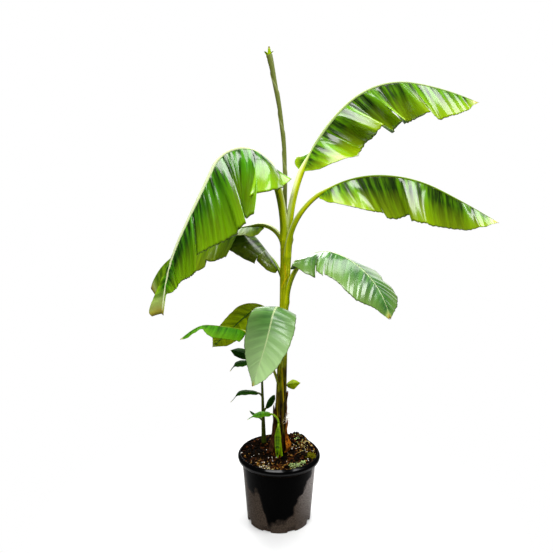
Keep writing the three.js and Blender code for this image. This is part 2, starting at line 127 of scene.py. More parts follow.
# Leaves: a heading, slopes at the foot, the stalk's end and even steps of the blade, a half width,
# how far each half folds down at the rib and at the margin, how the veins sweep towards the tip,
# and the tears as (place along the blade, share of the half that still holds). A half that the rule
# alone doesn't give has its own lines of (place along the blade, value): vein lengths, sweeps, how
# far it has opened out of the bud's roll, degrees that it tilts and curls up from its fold, and the
# share of the pleats' relief; lobe and blunt shape a half without vein lengths. first is where the
# blade starts, below 0 on the stalk; flat_from and ripe are where the tip flattens out and yellows;
# bend is the power of the fold; swing turns the heading over the blade and roll leans it; stalk_size,
# stalk_end and rib scale the radii; rib_pale and rib_side are how pale the rib is on top and all
# round; under is the tone of the underside
LEAVES = {
    "upper_left": dict(
        height=965.5, foot=(-7, -4), heading=202, stalk=236, blade=715, half=190,
        rise=(91, 67, 1.5, -63, -62, -64, -76, -85), left=(-58, -74), right=(-40, -62), tone="fresh",
        tears_left=((0.125, 0.2), (0.265, 0.12), (0.53, 0.15)), tears_right=((0.34, 0.4), (0.6, 0.4)),
        width_left=(
            (0, 72), (0.02, 96), (0.05, 122), (0.09, 180), (0.125, 210), (0.125, 274), (0.16, 248),
            (0.2, 216), (0.265, 184), (0.265, 238), (0.35, 214), (0.45, 174), (0.53, 142), (0.53, 190),
            (0.6, 162), (0.7, 110), (0.8, 66), (0.87, 34), (0.9, 12), (1, 8),
        ),
        sweep_left=(
            (0, -42), (0.05, -42), (0.1, -10), (0.125, 6), (0.125, 0.5), (0.2, 12), (0.26, 20),
            (0.3, 35), (0.35, 49), (0.45, 56), (0.52, 60), (0.75, 60), (0.85, 46), (1, 40),
        ),
        width_right=(
            (0, 20), (0.05, 70), (0.3, 180), (0.6, 140), (0.7, 90), (0.76, 36), (0.8, 14), (0.88, 26),
            (0.95, 44), (0.985, 46), (1, 30),
        ),
        sweep_right=((0, -52), (0.18, -2), (0.5, 46), (0.75, 50), (0.85, 34), (1, 22)),
        open_left=(
            (0, -0.6), (0.015, -0.35), (0.035, 0.1), (0.05, 0.15), (0.1, 0.5), (0.125, 0.7), (0.2, 1),
            (1, 1),
        ),
        open_right=((0, 0.15), (0.2, 1), (0.72, 1), (0.84, -1.1), (1, -1.1)),
        tilt_left=(
            (0, 0), (0.035, -10), (0.06, -10), (0.09, -2), (0.125, 2), (0.125, 4), (0.2, -5),
            (0.265, -6), (0.265, 10), (0.315, 10), (0.345, -4), (0.42, 0), (0.48, -10), (0.53, -15),
            (0.53, 11), (0.56, 6), (0.6, -3), (0.68, -9), (0.76, -9), (0.82, 0),
        ),
        curl_left=(
            (0, -10), (0.035, -50), (0.07, -50), (0.125, -36), (0.125, -14), (0.265, 0), (0.265, 16),
            (0.315, 16), (0.345, 0), (1, 0),
        ),
        relief_left=(
            (0, 0.2), (0.125, 0.2), (0.15, 0.8), (0.265, 0.8), (0.265, 0.15), (0.315, 0.15), (0.345, 1),
            (1, 1),
        ),
        rib=1.15, rib_pale=1.0, rib_side=0.75, flat_from=1.5, ripe=0.88, stalk_size=1.35, stalk_end=1.75,
        pleat=1.6,
    ),
    "upper_right": dict(
        height=965.5, foot=(7, 3), heading=16, stalk=225, blade=760, half=160,
        rise=(90, 68, 42, -6, -20), left=(-60, -74), right=(-66, -78), open=0.35,
        sweep=(-14, 12, 22, 50), tone="sunlit",
        tears_left=((0.3, 0.5), (0.6, 0.5)), tears_right=((0.34, 0.6), (0.45, 0.5), (0.65, 0.4)),
        width_left=(
            (0, 4), (0.03, 40), (0.06, 52), (0.1, 66), (0.2, 110), (0.36, 120), (0.6, 105), (0.8, 76),
            (0.9, 44), (0.95, 22), (1, 5),
        ),
        width_right=(
            (0, 6), (0.03, 44), (0.06, 80), (0.1, 114), (0.14, 136), (0.2, 146), (0.27, 142),
            (0.34, 140), (0.34, 178), (0.4, 172), (0.45, 152), (0.45, 160), (0.55, 150), (0.6, 134),
            (0.65, 124), (0.65, 142), (0.7, 136), (0.8, 106), (0.9, 62), (0.95, 28), (1, 5),
        ),
        open_left=((0, -0.5), (0.06, -0.4), (0.12, 0.3), (0.2, 1), (1, 1)),
        tilt_right=(
            (0.03, 2), (0.08, 14), (0.13, 12), (0.17, -16), (0.25, -20), (0.28, 10), (0.335, 12),
            (0.36, -18), (0.42, -16), (0.45, 7), (0.47, 7), (0.5, -20), (0.58, -20), (0.62, 8),
            (0.66, 13), (0.7, 0), (0.76, 9), (0.95, 9),
        ),
        relief_right=(
            (0, 1), (0.25, 1), (0.29, 0.4), (0.335, 0.4), (0.36, 1), (0.58, 1), (0.64, 0.4), (1, 0.3),
        ),
        rib_pale=0.4, rib_side=0.25, stalk_size=1.35, stalk_end=1.5, rib=0.9, pleat=0.7,
    ),
    "middle_right": dict(
        height=915, foot=(4, -12), heading=342, stalk=232, blade=575, half=145,
        rise=(90, 36, 2, -26, -31), left=(-56, -72), right=(-62, -76), open=0.6,
        sweep=(0, 18, 26, 52), lobe=(0.4, 0.45), blunt=1.5, tone="sunlit",
        tears_left=((0.35, 0.5),), tears_right=((0.28, 0.6), (0.46, 0.65)),
        width_right=(
            (0, 20), (0.04, 58), (0.1, 86), (0.17, 114), (0.28, 126), (0.28, 144), (0.36, 142),
            (0.42, 128), (0.46, 118), (0.46, 140), (0.52, 138), (0.6, 126), (0.7, 108), (0.8, 86),
            (0.9, 50), (0.95, 23), (1, 4),
        ),
        tilt_right=(
            (0, 0), (0.08, 6), (0.16, 2), (0.23, -16), (0.42, -22), (0.47, 2), (0.56, 4), (0.61, -18),
            (0.75, -22), (0.8, -4), (0.86, 20), (1, 22),
        ),
        rib_pale=0.1, stalk_size=1.15, rib=0.75, pleat=0.7,
    ),
    "lower_right": dict(
        height=760, foot=(6, -4), heading=318, stalk=158, blade=418, half=100, first=-0.06,
        rise=(85, 46, -8, -38, -74), left=(-8, -24), right=(-28, -54), tone="cool",
        tears_right=((0.2, 0.3), (0.3, 0.6)), tears_left=((0.65, 0.6),),
        width_right=(
            (-0.06, 8), (-0.04, 36), (0.02, 54), (0.06, 66), (0.12, 88), (0.2, 104), (0.2, 88),
            (0.3, 110), (0.3, 100), (0.4, 104), (0.5, 108), (0.6, 102), (0.7, 80), (0.8, 54), (0.9, 32),
            (1, 6),
        ),
        sweep_right=((-0.06, -24), (0.05, -10), (0.2, 14), (0.4, 30), (0.6, 36), (0.8, 42), (1, 50)),
        width_left=(
            (-0.06, 6), (-0.02, 30), (0.1, 60), (0.3, 84), (0.5, 85), (0.6, 84), (0.65, 76),
            (0.65, 100), (0.72, 112), (0.8, 86), (0.9, 42), (1, 6),
        ),
        sweep_left=((-0.06, -50), (0, -40), (0.1, -14), (0.2, 0), (0.5, 16), (0.7, 30), (1, 60)),
        open_right=((-0.06, 0), (0.03, 0.1), (0.12, 0.7), (0.2, 1), (1, 1)),
        curl_right=((-0.06, -90), (0.03, -90), (0.15, -30), (0.2, 0), (1, 0)),
        open_left=((-0.06, 2), (0.4, 2), (0.55, 0.8), (1, 0.8)),
        tilt_right=(
            (-0.06, 10), (0.03, 4), (0.18, -14), (0.22, 6), (0.34, 8), (0.5, 0), (0.7, -6), (1, 0),
        ),
        rib_pale=0.9, rib_side=0.7, rib=0.45, pleat=0.8,
    ),
    "middle_left": dict(
        height=932, foot=(-7, 6), heading=160, stalk=132, blade=500, half=92, first=-0.04,
        rise=(90, -6, -23, -30, -70), left=(-50, -66), right=(-4, -12), open=0.6,
        sweep=(0, 12, 22, 52), tone="aged", tears_left=((0.13, 0.1), (0.3, 0.5)), rib_pale=0.1,
        width_left=(
            (-0.04, 12), (0, 40), (0.05, 50), (0.13, 52), (0.13, 112), (0.2, 112), (0.3, 108),
            (0.3, 104), (0.36, 118), (0.45, 114), (0.6, 100), (0.8, 88), (0.9, 72), (0.97, 60), (1, 42),
        ),
        sweep_left=(
            (-0.04, -10), (0.1, 10), (0.13, 14), (0.13, 24), (0.3, 24), (0.7, 30), (0.85, 24), (1, 10),
        ),
        width_right=((-0.04, 6), (0, 24), (0.06, 34), (0.3, 70), (0.6, 80), (0.8, 50), (0.9, 30), (1, 10)),
        open_left=((-0.04, 0.9), (0.03, 0.8), (0.07, 0.5), (0.13, 0.45), (0.13, 0.95), (0.3, 1), (1, 1)),
        tilt_left=((0.13, 0), (0.25, 0), (0.28, 4), (0.3, 16), (0.33, 0), (0.4, 0)), pleat=0.4,
        flat_from=1.5, ripe=0.9,
    ),
    "back_left": dict(
        height=838, foot=(-8, 8), heading=134, stalk=70, blade=310, half=122, first=-0.1,
        rise=(60, 42, 36, 4, -30), left=(6, -112), right=(-66, -96), bend=2.0,
        sweep=(-14, 6, 18, 50), tone="dusky", tears_left=((0.15, 0.4), (0.42, 0.5)),
        width_left=(
            (-0.1, 6), (-0.08, 32), (0, 60), (0.1, 70), (0.15, 72), (0.15, 76), (0.3, 116), (0.42, 138),
            (0.5, 150), (0.7, 142), (0.9, 84), (1, 6),
        ),
        sweep_left=((-0.1, -50), (0, -30), (0.15, -20), (0.3, 4), (0.5, 18), (1, 50)),
        tilt_left=((-0.1, 20), (0.15, 20), (0.15, 0), (1, 0)),
        width_right=((-0.1, 4), (0, 20), (0.1, 40), (0.4, 70), (0.7, 60), (1, 6)),
        pleat=0.1, stalk_size=0.65, rib=0.35, rib_pale=0, stalk_skin="dark",
    ),
    "front": dict(
        height=520, foot=(2, -6), heading=264, swing=-62, stalk=272, blade=304, half=94,
        rise=(80, 50, -64, -67, -70), left=(-10, -24), right=(-8, -20), roll=-7,
        width_left=(
            (0, 10), (0.03, 38), (0.08, 56), (0.2, 70), (0.35, 76), (0.5, 75), (0.65, 66), (0.8, 46),
            (0.9, 26), (0.96, 12), (1, 3),
        ),
        width_right=(
            (0, 10), (0.03, 42), (0.08, 58), (0.2, 74), (0.35, 88), (0.5, 95), (0.62, 88), (0.75, 64),
            (0.87, 36), (0.95, 16), (1, 3),
        ),
        sweep=(-42, -2, 22, 58), tone="bloom", pleat=0.3,
        stalk_size=0.75, rib_pale=0.9, rib_side=0.6, rib=0.5,
    ),
    "turned_left": dict(
        height=642, foot=(-4, 8), heading=170, stalk=82, blade=256, half=58,
        rise=(80, 40, -42, -46, -44), left=(-4, -16), right=(-4, -16),
        sweep=(0, 16, 26, 56), roll=58, lobe=(0.5, 0.5), tone="olive", under="olive", pleat=0.25,
        stalk_size=0.7, rib=0.4, rib_pale=0, stalk_skin="dark",
    ),
    "narrow_left": dict(
        height=452, foot=(-4, -5), heading=192, stalk=245, blade=232, half=46,
        rise=(80, 44, 12, 11, 10, 5, -24, -36, -38), left=(-46, -66), right=(-20, -40),
        width_left=(
            (0, 30), (0.03, 44), (0.1, 44), (0.3, 45), (0.42, 46), (0.5, 37), (0.56, 26), (0.61, 15),
            (0.66, 13), (0.72, 17), (0.78, 15), (0.85, 18), (0.93, 11), (1, 2),
        ),
        width_right=(
            (0, 20), (0.03, 34), (0.1, 38), (0.3, 40), (0.42, 40), (0.5, 32), (0.56, 22), (0.61, 13),
            (0.66, 11), (0.74, 13), (0.84, 13), (0.93, 8), (1, 2),
        ),
        sweep=(0, 14, 26, 50), tone="vivid", under="vivid", pleat=0.3, stalk_size=0.6,
        rib=0.4, rib_pale=0.1,
    ),
}
LEAF_NODES = {name: ("blade_" + name,) for name in LEAVES}
LEAF_NODES["upper_left"] = ("blade_upper_left_inner", "blade_upper_left_outer")
STALK_RADII = (9, 7)
FOOT_REACH = 90
FULL_HALF = 150
# Stalk sections: depth of the channel and rise of its lips, the foot's spread and how fast it fades,
# and how far the rib sinks under the blade, as shares of the radius
CHANNEL = (0.42, 0.16)
FOOT_SPREAD = (0.35, 2.2)
RIB_SINK = 0.6

# Side shoots: a leaning stem with its skin, its leaves' tone and one leaf's own where that differs,
# and small leaves (height, heading, roll, stalk, blade, half, slopes)
SUCKERS = {
    "left": dict(
        foot=(-53, 58), height=330, lean=-1.2, radii=(9, 6, 4, 3), tone="shade",
        leaves={
            "top": (510, 164, -35, 50, 90, 25, (70, 40, 18, 6, -2)),
            "upper": (504, 200, -25, 50, 92, 19, (70, 30, 4, -6, -40, -58)),
            "arched": (408, 188, -25, 26, 112, 15, (86, 26, 6, -4, -56, -45)),
            "right": (355, 348, 55, 20, 62, 15, (60, 62, 60, 56, 50)),
            "dark": (325, 170, 0, 16, 44, 12, (45, 40, 38, 30, 20)),
        },
    ),
    "front": dict(
        foot=(7, -20), height=118, lean=-4, radii=(6, 4.5, 4, 3.5), tone="vivid",
        tones={"hanging": "sunlit"}, skin="young",
        leaves={
            "arched": (355, 188, -25, 42, 84, 16, (82, 20, 0, -24, -36)),
            "hanging": (346, 262, 0, 18, 108, 13, (60, -50, -82, -86, -88)),
        },
    ),
    "back": dict(
        foot=(9, 62), height=228, lean=2.5, radii=(8, 6, 5, 4), tone="olive",
        leaves={"right": (451, 352, 40, 9, 50, 23, (34, 26, 18, 6, 0))},
    ),
}

SMALL_LEAF = dict(
    left=(-14, -34), right=(-14, -34), sweep=(0, 12, 24, 56), lobe=(0.4, 0.4), size=0.36, pleat=0.3,
    rib_pale=0.0, rib=0.5, foot_radius=3, end_radius=3,
)
# How deep a shoot's stem stands in the soil, how far its sheath's edge winds in radians, and its step
SHOOT_SUNK = 12
SHOOT_WINDING = 5
SHOOT_STEP = 0.16
# Small leaves that end in a withered thread, and their share of the half width along the blade
THREAD_TIPPED = ("upper", "arched")
THREAD_OUTLINE = (
    (0, 0.3), (0.06, 0.66), (0.15, 0.8), (0.25, 0.78), (0.38, 1.0), (0.5, 0.84), (0.58, 0.8), (0.66, 0.5),
    (0.74, 0.24), (0.8, 0.17), (1, 0.12),
)

# Blade surface
OPEN_BY = 0.2
FLAT_FROM = 0.97
SWEEP_AT = (0.05, 0.18, 0.5, 1)
LOBE_AT = 0.05
WIDEST_AT = 0.36
BLUNT = 2.2
TIP_FALL = 0.62
TIP_REACH = 0.7
RIB_SHARE = (0.8, 0.3)
ROW_STEP = 2.6
ACROSS = 20
BLADE_THICK = 0.8
PLEAT_STEP = 15.0
PLEAT_RISE = 2.2
PLEAT_FROM = 0.12
MARGIN_WAVE = 5.0
WAVE_STEP = 75.0
MARGIN_RIPPLE = 0.015
RIPPLE_STEP = 9
CURL_ABOUT = 0.4
CALM_ENDS = (0.08, 0.86)
RIPE_FROM = 0.93
STRIP_DROOP = 3.5
TEAR_GAP = 1.4
VEIN_BEND = 9.0
# Degrees of downward tilt over which a strip's painted shade comes in
SHADED_BY = (2, 14)
SOFTENING = 0.01

# Studio, in metres: softboxes as (name, place, what it points at, size, watts), the camera, the floor
SOFTBOXES = (
    ("sky_left", (-0.6, -2.0, 3.2), (0.0, 0.0, 1.0), (2.2, 1.2), 110),
    ("sky_right", (2.1, -1.0, 3.0), (0.2, 0.0, 1.2), (1.7, 1.3), 70),
    ("sky_top", (0.2, 0.6, 3.6), (0.0, 0.0, 0.8), (2.8, 2.2), 130),
    ("back_left", (-0.9, 2.4, 2.4), (0.0, 0.0, 1.0), (1.6, 1.6), 60),
    ("back_right", (0.9, 2.8, 1.7), (0.0, 0.0, 1.1), (3.6, 2.0), 36),
)
CAMERA = dict(place=(-0.0085, -2.0, 1.238), tilt=79, lens=41.0, sensor=36)
FLOOR_REACH = 14
FLOOR_DROP = 0.0005


def linear(colour):
    """An sRGB hex colour as linear red, green, blue and an opaque alpha."""
    srgb = np.array([int(colour[k:k + 2], 16) for k in (1, 3, 5)]) / 255
    light = np.where(srgb <= 0.04045, srgb / 12.92, ((srgb + 0.055) / 1.055) ** 2.4)
    return (*light.tolist(), 1.0)


def ease(x, low, high):
    """Rises from 0 at low to 1 at high along a smooth S: three squares less two cubes."""
    t = np.clip((x - low) / (high - low), 0, 1)
    return t * t * (3 - 2 * t)


def wander(x, step, rng, spread=0.7):
    """A wavering line from -1 to 1: heights that change sides at uneven steps, joined straight."""
    count = int(np.ptp(x) / step) + 8
    places = x.min() - 2 * step + np.cumsum(step * (1 + spread * rng.uniform(-1, 1, count * 2)))
    heights = rng.uniform(0.35, 1, count * 2) * np.where(np.arange(count * 2) % 2, 1, -1)
    return np.interp(x, places, heights)


def drawn(v, pairs, low, high):
    """A drawn line: straight between its (place, value) pairs, softened by taking the mean over
    a short stretch on both sides of each place, as far as the strip from low to high goes."""
    places, values = np.array(pairs, float).T
    near = v[:, None] + np.linspace(-SOFTENING, SOFTENING, 7)
    return np.interp(np.clip(near, low[:, None], high[:, None]), places, values).mean(axis=1)


def quads(ids, closed=False):
    """Four-cornered faces between the rows of a grid of point numbers, closed round or open."""
    if closed:
        ids = np.concatenate([ids, ids[:, :1]], axis=1)
    return np.stack([ids[:-1, :-1], ids[:-1, 1:], ids[1:, 1:], ids[1:, :-1]], -1).reshape(-1, 4).tolist()


def numbered(grid):
    """The numbers of a grid's points, row after row."""
    return np.arange(grid.shape[0] * grid.shape[1]).reshape(grid.shape[:2])


def ringed(radius, turn, height=0.0):
    """Points at a radius and a turn about the upright axis, at a height."""
    return np.stack(np.broadcast_arrays(radius * np.cos(turn), radius * np.sin(turn), height), -1)


def unrolled(around, along):
    """Places on a rolled-out skin: lengths round it and along it, as metres."""
    return np.stack(np.broadcast_arrays(around, along), -1).reshape(-1, 2) * MM


def tube(rings):
    """Rings of points, turning left about the way they run, as a closed skin with both ends capped."""
    ids = numbered(rings)
    faces = quads(ids, closed=True) + [ids[0][::-1].tolist(), ids[-1].tolist()]
    return rings.reshape(-1, 3), faces


def joined(parts):
    """Several skins as one: their points in a row, their faces numbered on."""
    starts = np.cumsum([0] + [len(points) for points, _ in parts])
    faces = [[k + start for k in face] for (_, some), start in zip(parts, starts) for face in some]
    return np.concatenate([points for points, _ in parts]), faces


def placed(name, data):
    """A new object of the scene that shows a mesh, a light or a camera."""
    thing = bpy.data.objects.new(name, data)
    bpy.context.scene.collection.objects.link(thing)
    return thing


def put(name, points, faces, materials, nodes=(), uv=None, marks=(), kinds=None, thick=0.0):
    """Makes a piece from points in millimetres; uv and marks hold one value for each point."""
    mesh = bpy.data.meshes.new(name)
    mesh.from_pydata((np.asarray(points) * MM).tolist(), [], faces)
    for look in materials:
        mesh.materials.append(look)
    if uv is not None:
        corner = np.empty(len(mesh.loops), np.int32)
        mesh.loops.foreach_get("vertex_index", corner)
        mesh.uv_layers.new(name="veins").data.foreach_set("uv", uv[corner].ravel())
    for key, values in dict(marks).items():
        mesh.attributes.new(key, "FLOAT", "POINT").data.foreach_set("value", np.ravel(values))
    if kinds is not None:
        mesh.polygons.foreach_set("material_index", np.asarray(kinds, np.int32))
    mesh.polygons.foreach_set("use_smooth", np.ones(len(mesh.polygons), bool))
    mesh.update()
    piece = placed(name, mesh)
    if thick:
        shell = piece.modifiers.new("thickness", "SOLIDIFY")
        shell.thickness = thick * MM
        shell.offset = 0.0
        shell.material_offset = len(materials) - 1
    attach(piece, "root")
    if nodes:
        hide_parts(*nodes)
    return piece


def add(nodes, kind, links=(), stops=(), **settings):
    """Adds a node: its own settings, then a value or link for inputs by name or for those in use in
    their order, and a colour ramp's stops. A node given as a link gives its first output in use. A Mix
    takes its share and two colours; a MapRange its value, the range it comes in and the one it goes to."""
    made = nodes.new("ShaderNode" + kind)
    if kind == "Mix":
        made.data_type = "RGBA"
    for key, value in settings.items():
        setattr(made, key, value)
    if not isinstance(links, dict):
        in_use = [place for place, socket in enumerate(made.inputs) if socket.enabled]
        links = dict(zip(in_use, links))
    for key, value in links.items():
        if isinstance(value, bpy.types.Node):
            value = next(socket for socket in value.outputs if socket.enabled)
        if isinstance(value, bpy.types.NodeSocket):
            nodes.id_data.links.new(value, made.inputs[key])
        else:
            made.inputs[key].default_value = value
    if stops:
        ramp = made.color_ramp.elements
        while len(ramp) < len(stops):
            ramp.new(1.0)
        for element, (place, colour) in zip(ramp, stops):
            element.position = place
            element.color = linear(colour)
    return made


def material(name):
    """A new material's empty node tree."""
    made = bpy.data.materials.new(name)
    made.use_nodes = True
    made.node_tree.nodes.clear()
    return made, made.node_tree.nodes


def stretched(nodes, at, cells, detail, roughness=0.5):
    """A noise pattern drawn out along some axes: so many cells to the metre along each of them."""
    where = add(nodes, "VectorMath", (at, cells), operation="MULTIPLY")
    return add(nodes, "TexNoise", {"Vector": where, "Scale": 1.0, "Detail": detail, "Roughness": roughness})


def banana_leaf(name, deep, fresh, margin, glow, roughness, coat, index, painted_light_colour=None):
    """Living banana leaf: waxy skin over parallel veins. The eye sees light and dark bands that
    run from rib to margin, fine raised veins, wet-looking streaks of light on the folds, a yellow
    cast towards the margin, a thin dry edge and a brown tip; light shines through it yellow-green.
    Strips that tilt down from their fold get painted shade, a deeper green. Where a pale colour is
    given, it is painted light: a whitish pale that thickens down a hanging blade towards its tip."""
    made, nodes = material(name)
    along = add(nodes, "UVMap", uv_map="veins")
    share = add(nodes, "Attribute", attribute_name="share").outputs["Fac"]
    reach = add(nodes, "Attribute", attribute_name="reach").outputs["Fac"]
    # Bands 16 mm wide, ten times as long down the veins; veins 2.5 mm apart, wider than the real
    # 1 mm ones so that they show
    bands = stretched(nodes, along, (6.0, 62.0, 1.0), 3.0, 0.6)
    veins = stretched(nodes, along, (12.0, 400.0, 1.0), 2.0)
    # Painted shade: strips that tilt down from their fold are painted towards the deep green, as if in
    # shadow
    shade = add(nodes, "Attribute", attribute_name="shade").outputs["Fac"]
    bands_with_painted_shade = add(nodes, "Math", (shade, -0.07, bands), operation="MULTIPLY_ADD")
    green = add(nodes, "ValToRGB", (bands_with_painted_shade,), stops=((0.4, deep), (0.6, fresh)))
    fade = add(nodes, "MapRange", (share, 0.3, 1.0, 0.0, 0.85))
    toward = add(nodes, "Mix", (fade, green, linear(margin)))
    line = add(nodes, "MapRange", (veins, 0.35, 0.7, 0.0, 0.3))
    veined = add(nodes, "Mix", (line, toward, linear(fresh)))
    # Painted light: a whitish pale mixed in from 0.35 to 0.85 of the reach, brightening the lower blade
    if painted_light_colour:
        thick = add(nodes, "MapRange", (reach, 0.35, 0.85, 0.0, 0.8))
        veined = add(nodes, "Mix", (thick, veined, linear(painted_light_colour)))
    dry_at = add(nodes, "MapRange", (share, 0.972, 0.995, 0.0, 0.8))
    edged = add(nodes, "Mix", (dry_at, veined, linear("#5a5216")))
    end = add(
        nodes, "ValToRGB", (reach,),
        stops=((0.93, margin), (0.95, "#c4d878"), (0.975, "#c0b040"), (1.0, "#5b3b14")),
    )
    ripe = add(nodes, "MapRange", (reach, 0.93, 0.955, 0.0, 0.9))
    withered = add(nodes, "Mix", (ripe, edged, end))
    rough = add(nodes, "MapRange", (bands, 0.3, 0.7, roughness + 0.08, roughness - 0.05))
    raised = add(nodes, "Bump", {"Height": veins, "Strength": 0.12, "Distance": 0.0007})
    skin = add(nodes, "BsdfPrincipled", {
        "Base Color": withered, "Roughness": rough, "Normal": raised, "IOR": index,
        "Coat Weight": coat, "Coat Roughness": 0.18,
    })
    lit = add(nodes, "ValToRGB", (bands_with_painted_shade,), stops=((0.36, deep), (0.56, glow)))
    through = add(nodes, "BsdfTranslucent", {"Color": lit, "Normal": raised})
    both = add(nodes, "MixShader", (0.25, skin, through))
    add(nodes, "OutputMaterial", {"Surface": both})
    return made


def leaf_stalk(name, dark, mid, light, channel, midrib, foot="#3a3a0c"):
    """Banana leaf stalk and midrib: smooth waxy skin, stretched along. The eye sees yellow-green
    with long paler and browner streaks, a pale channel, a soft sheen and brown near the soil."""
    made, nodes = material(name)
    along = add(nodes, "UVMap", uv_map="veins")
    at = add(nodes, "TexCoord").outputs["Object"]
    height = add(nodes, "SeparateXYZ", (at,)).outputs["Z"]
    reach = add(nodes, "Attribute", attribute_name="reach").outputs["Fac"]
    top = add(nodes, "Attribute", attribute_name="share").outputs["Fac"]
    # Streaks 3 mm wide and about 120 mm long
    streaks = stretched(nodes, along, (330.0, 8.0, 1.0), 3.0)
    green = add(nodes, "ValToRGB", (streaks,), stops=((0.3, dark), (0.52, mid), (0.75, light)))
    on_rib = add(nodes, "MapRange", (reach, 0.0, 0.15, 0.0, 0.85))
    greener = add(nodes, "Mix", (on_rib, green, linear(midrib)))
    pale = add(nodes, "Mix", (top, greener, linear(channel)))
    low = add(nodes, "MapRange", (height, 0.44, 0.6, 0.75, 0.0))
    aged = add(nodes, "Mix", (low, pale, linear(foot)))
    end = add(nodes, "MapRange", (reach, 0.975, 1.0, 0.0, 1.0))
    brown = add(nodes, "Mix", (end, aged, linear("#5b3b18")))
    raised = add(nodes, "Bump", {"Height": streaks, "Strength": 0.35, "Distance": 0.0006})
    skin = add(nodes, "BsdfPrincipled", {
        "Base Color": brown, "Roughness": 0.36, "Normal": raised, "IOR": 1.3,
        "Subsurface Weight": 0.08, "Subsurface Radius": (0.004, 0.006, 0.002),
    })
    add(nodes, "OutputMaterial", {"Surface": skin})
    return made


def sheathed_trunk():
    """Banana trunk of wrapped leaf sheaths: fibrous waxy skin that browns towards the foot. The eye
    sees olive green above, dark brown with orange streaks below, and yellow lines at sheath edges."""
    made, nodes = material("banana_trunk_sheaths")
    at = add(nodes, "TexCoord").outputs["Object"]
    edge = add(nodes, "Attribute", attribute_name="edge").outputs["Fac"]
    height = add(nodes, "SeparateXYZ", (at,)).outputs["Z"]
    # Fibres 3 mm wide and 120 mm long, blotches 40 mm across
    fibres = stretched(nodes, at, (320.0, 320.0, 8.0), 4.0, 0.6)
    blotches = stretched(nodes, at, (60.0, 60.0, 18.0), 3.0)
    young = add(
        nodes, "ValToRGB", (fibres,),
        stops=((0.32, "#5a6800"), (0.52, "#aab400"), (0.72, "#e0de44")),
    )
    old = add(
        nodes, "ValToRGB", (fibres,),
        stops=(
            (0.36, "#080401"), (0.47, "#382e04"), (0.58, "#6c6006"), (0.7, "#a06a0a"),
            (0.85, "#c87410"),
        ),
    )
    foot = add(
        nodes, "ValToRGB", (fibres,),
        stops=((0.4, "#060200"), (0.52, "#241004"), (0.62, "#4c2606"), (0.8, "#8c500a")),
    )
    ragged = add(nodes, "MapRange", (blotches, 0.3, 0.7, -0.11, 0.11))
    level = add(nodes, "Math", (height, ragged), operation="ADD")
    up = add(nodes, "MapRange", (level, 0.46, 0.62, 0.0, 1.0))
    off_foot = add(nodes, "MapRange", (level, 0.3, 0.38, 0.0, 1.0))
    low = add(nodes, "Mix", (off_foot, foot, old))
    body = add(nodes, "Mix", (up, low, young))
    lined = add(nodes, "Mix", (edge, body, linear("#d8b800")))
    raised = add(nodes, "Bump", {"Height": fibres, "Strength": 0.6, "Distance": 0.001})
    rough = add(nodes, "MapRange", (up, 0.0, 1.0, 0.62, 0.4))
    skin = add(nodes, "BsdfPrincipled", {
        "Base Color": lined, "Roughness": rough, "Normal": raised, "IOR": 1.2,
    })
    add(nodes, "OutputMaterial", {"Surface": skin})
    return made


def papery_sheath(name, dark, mid, light, pale):
    """Dead leaf sheath: dry, papery and fibrous. The eye sees rust and tan streaks along it, a
    crinkled dull face and darker rotted patches."""
    made, nodes = material(name)
    at = add(nodes, "TexCoord").outputs["Object"]
    # Fibres 2 mm wide and 60 mm long, patches 20 mm across
    fibres = stretched(nodes, at, (450.0, 450.0, 16.0), 4.0, 0.65)
    patches = add(nodes, "TexNoise", {"Vector": at, "Scale": 50.0, "Detail": 2.0})
    tan = add(
        nodes, "ValToRGB", (fibres,),
        stops=((0.3, dark), (0.5, mid), (0.65, light), (0.8, pale)),
    )
    rot = add(nodes, "MapRange", (patches, 0.46, 0.62, 0.0, 0.85))
    rotted = add(nodes, "Mix", (rot, tan, linear("#1e0e04")))
    raised = add(nodes, "Bump", {"Height": fibres, "Strength": 0.8, "Distance": 0.0015})
    skin = add(nodes, "BsdfPrincipled", {
        "Base Color": rotted, "Roughness": 0.75, "Normal": raised, "IOR": 1.2,
    })
    add(nodes, "OutputMaterial", {"Surface": skin})
    return made


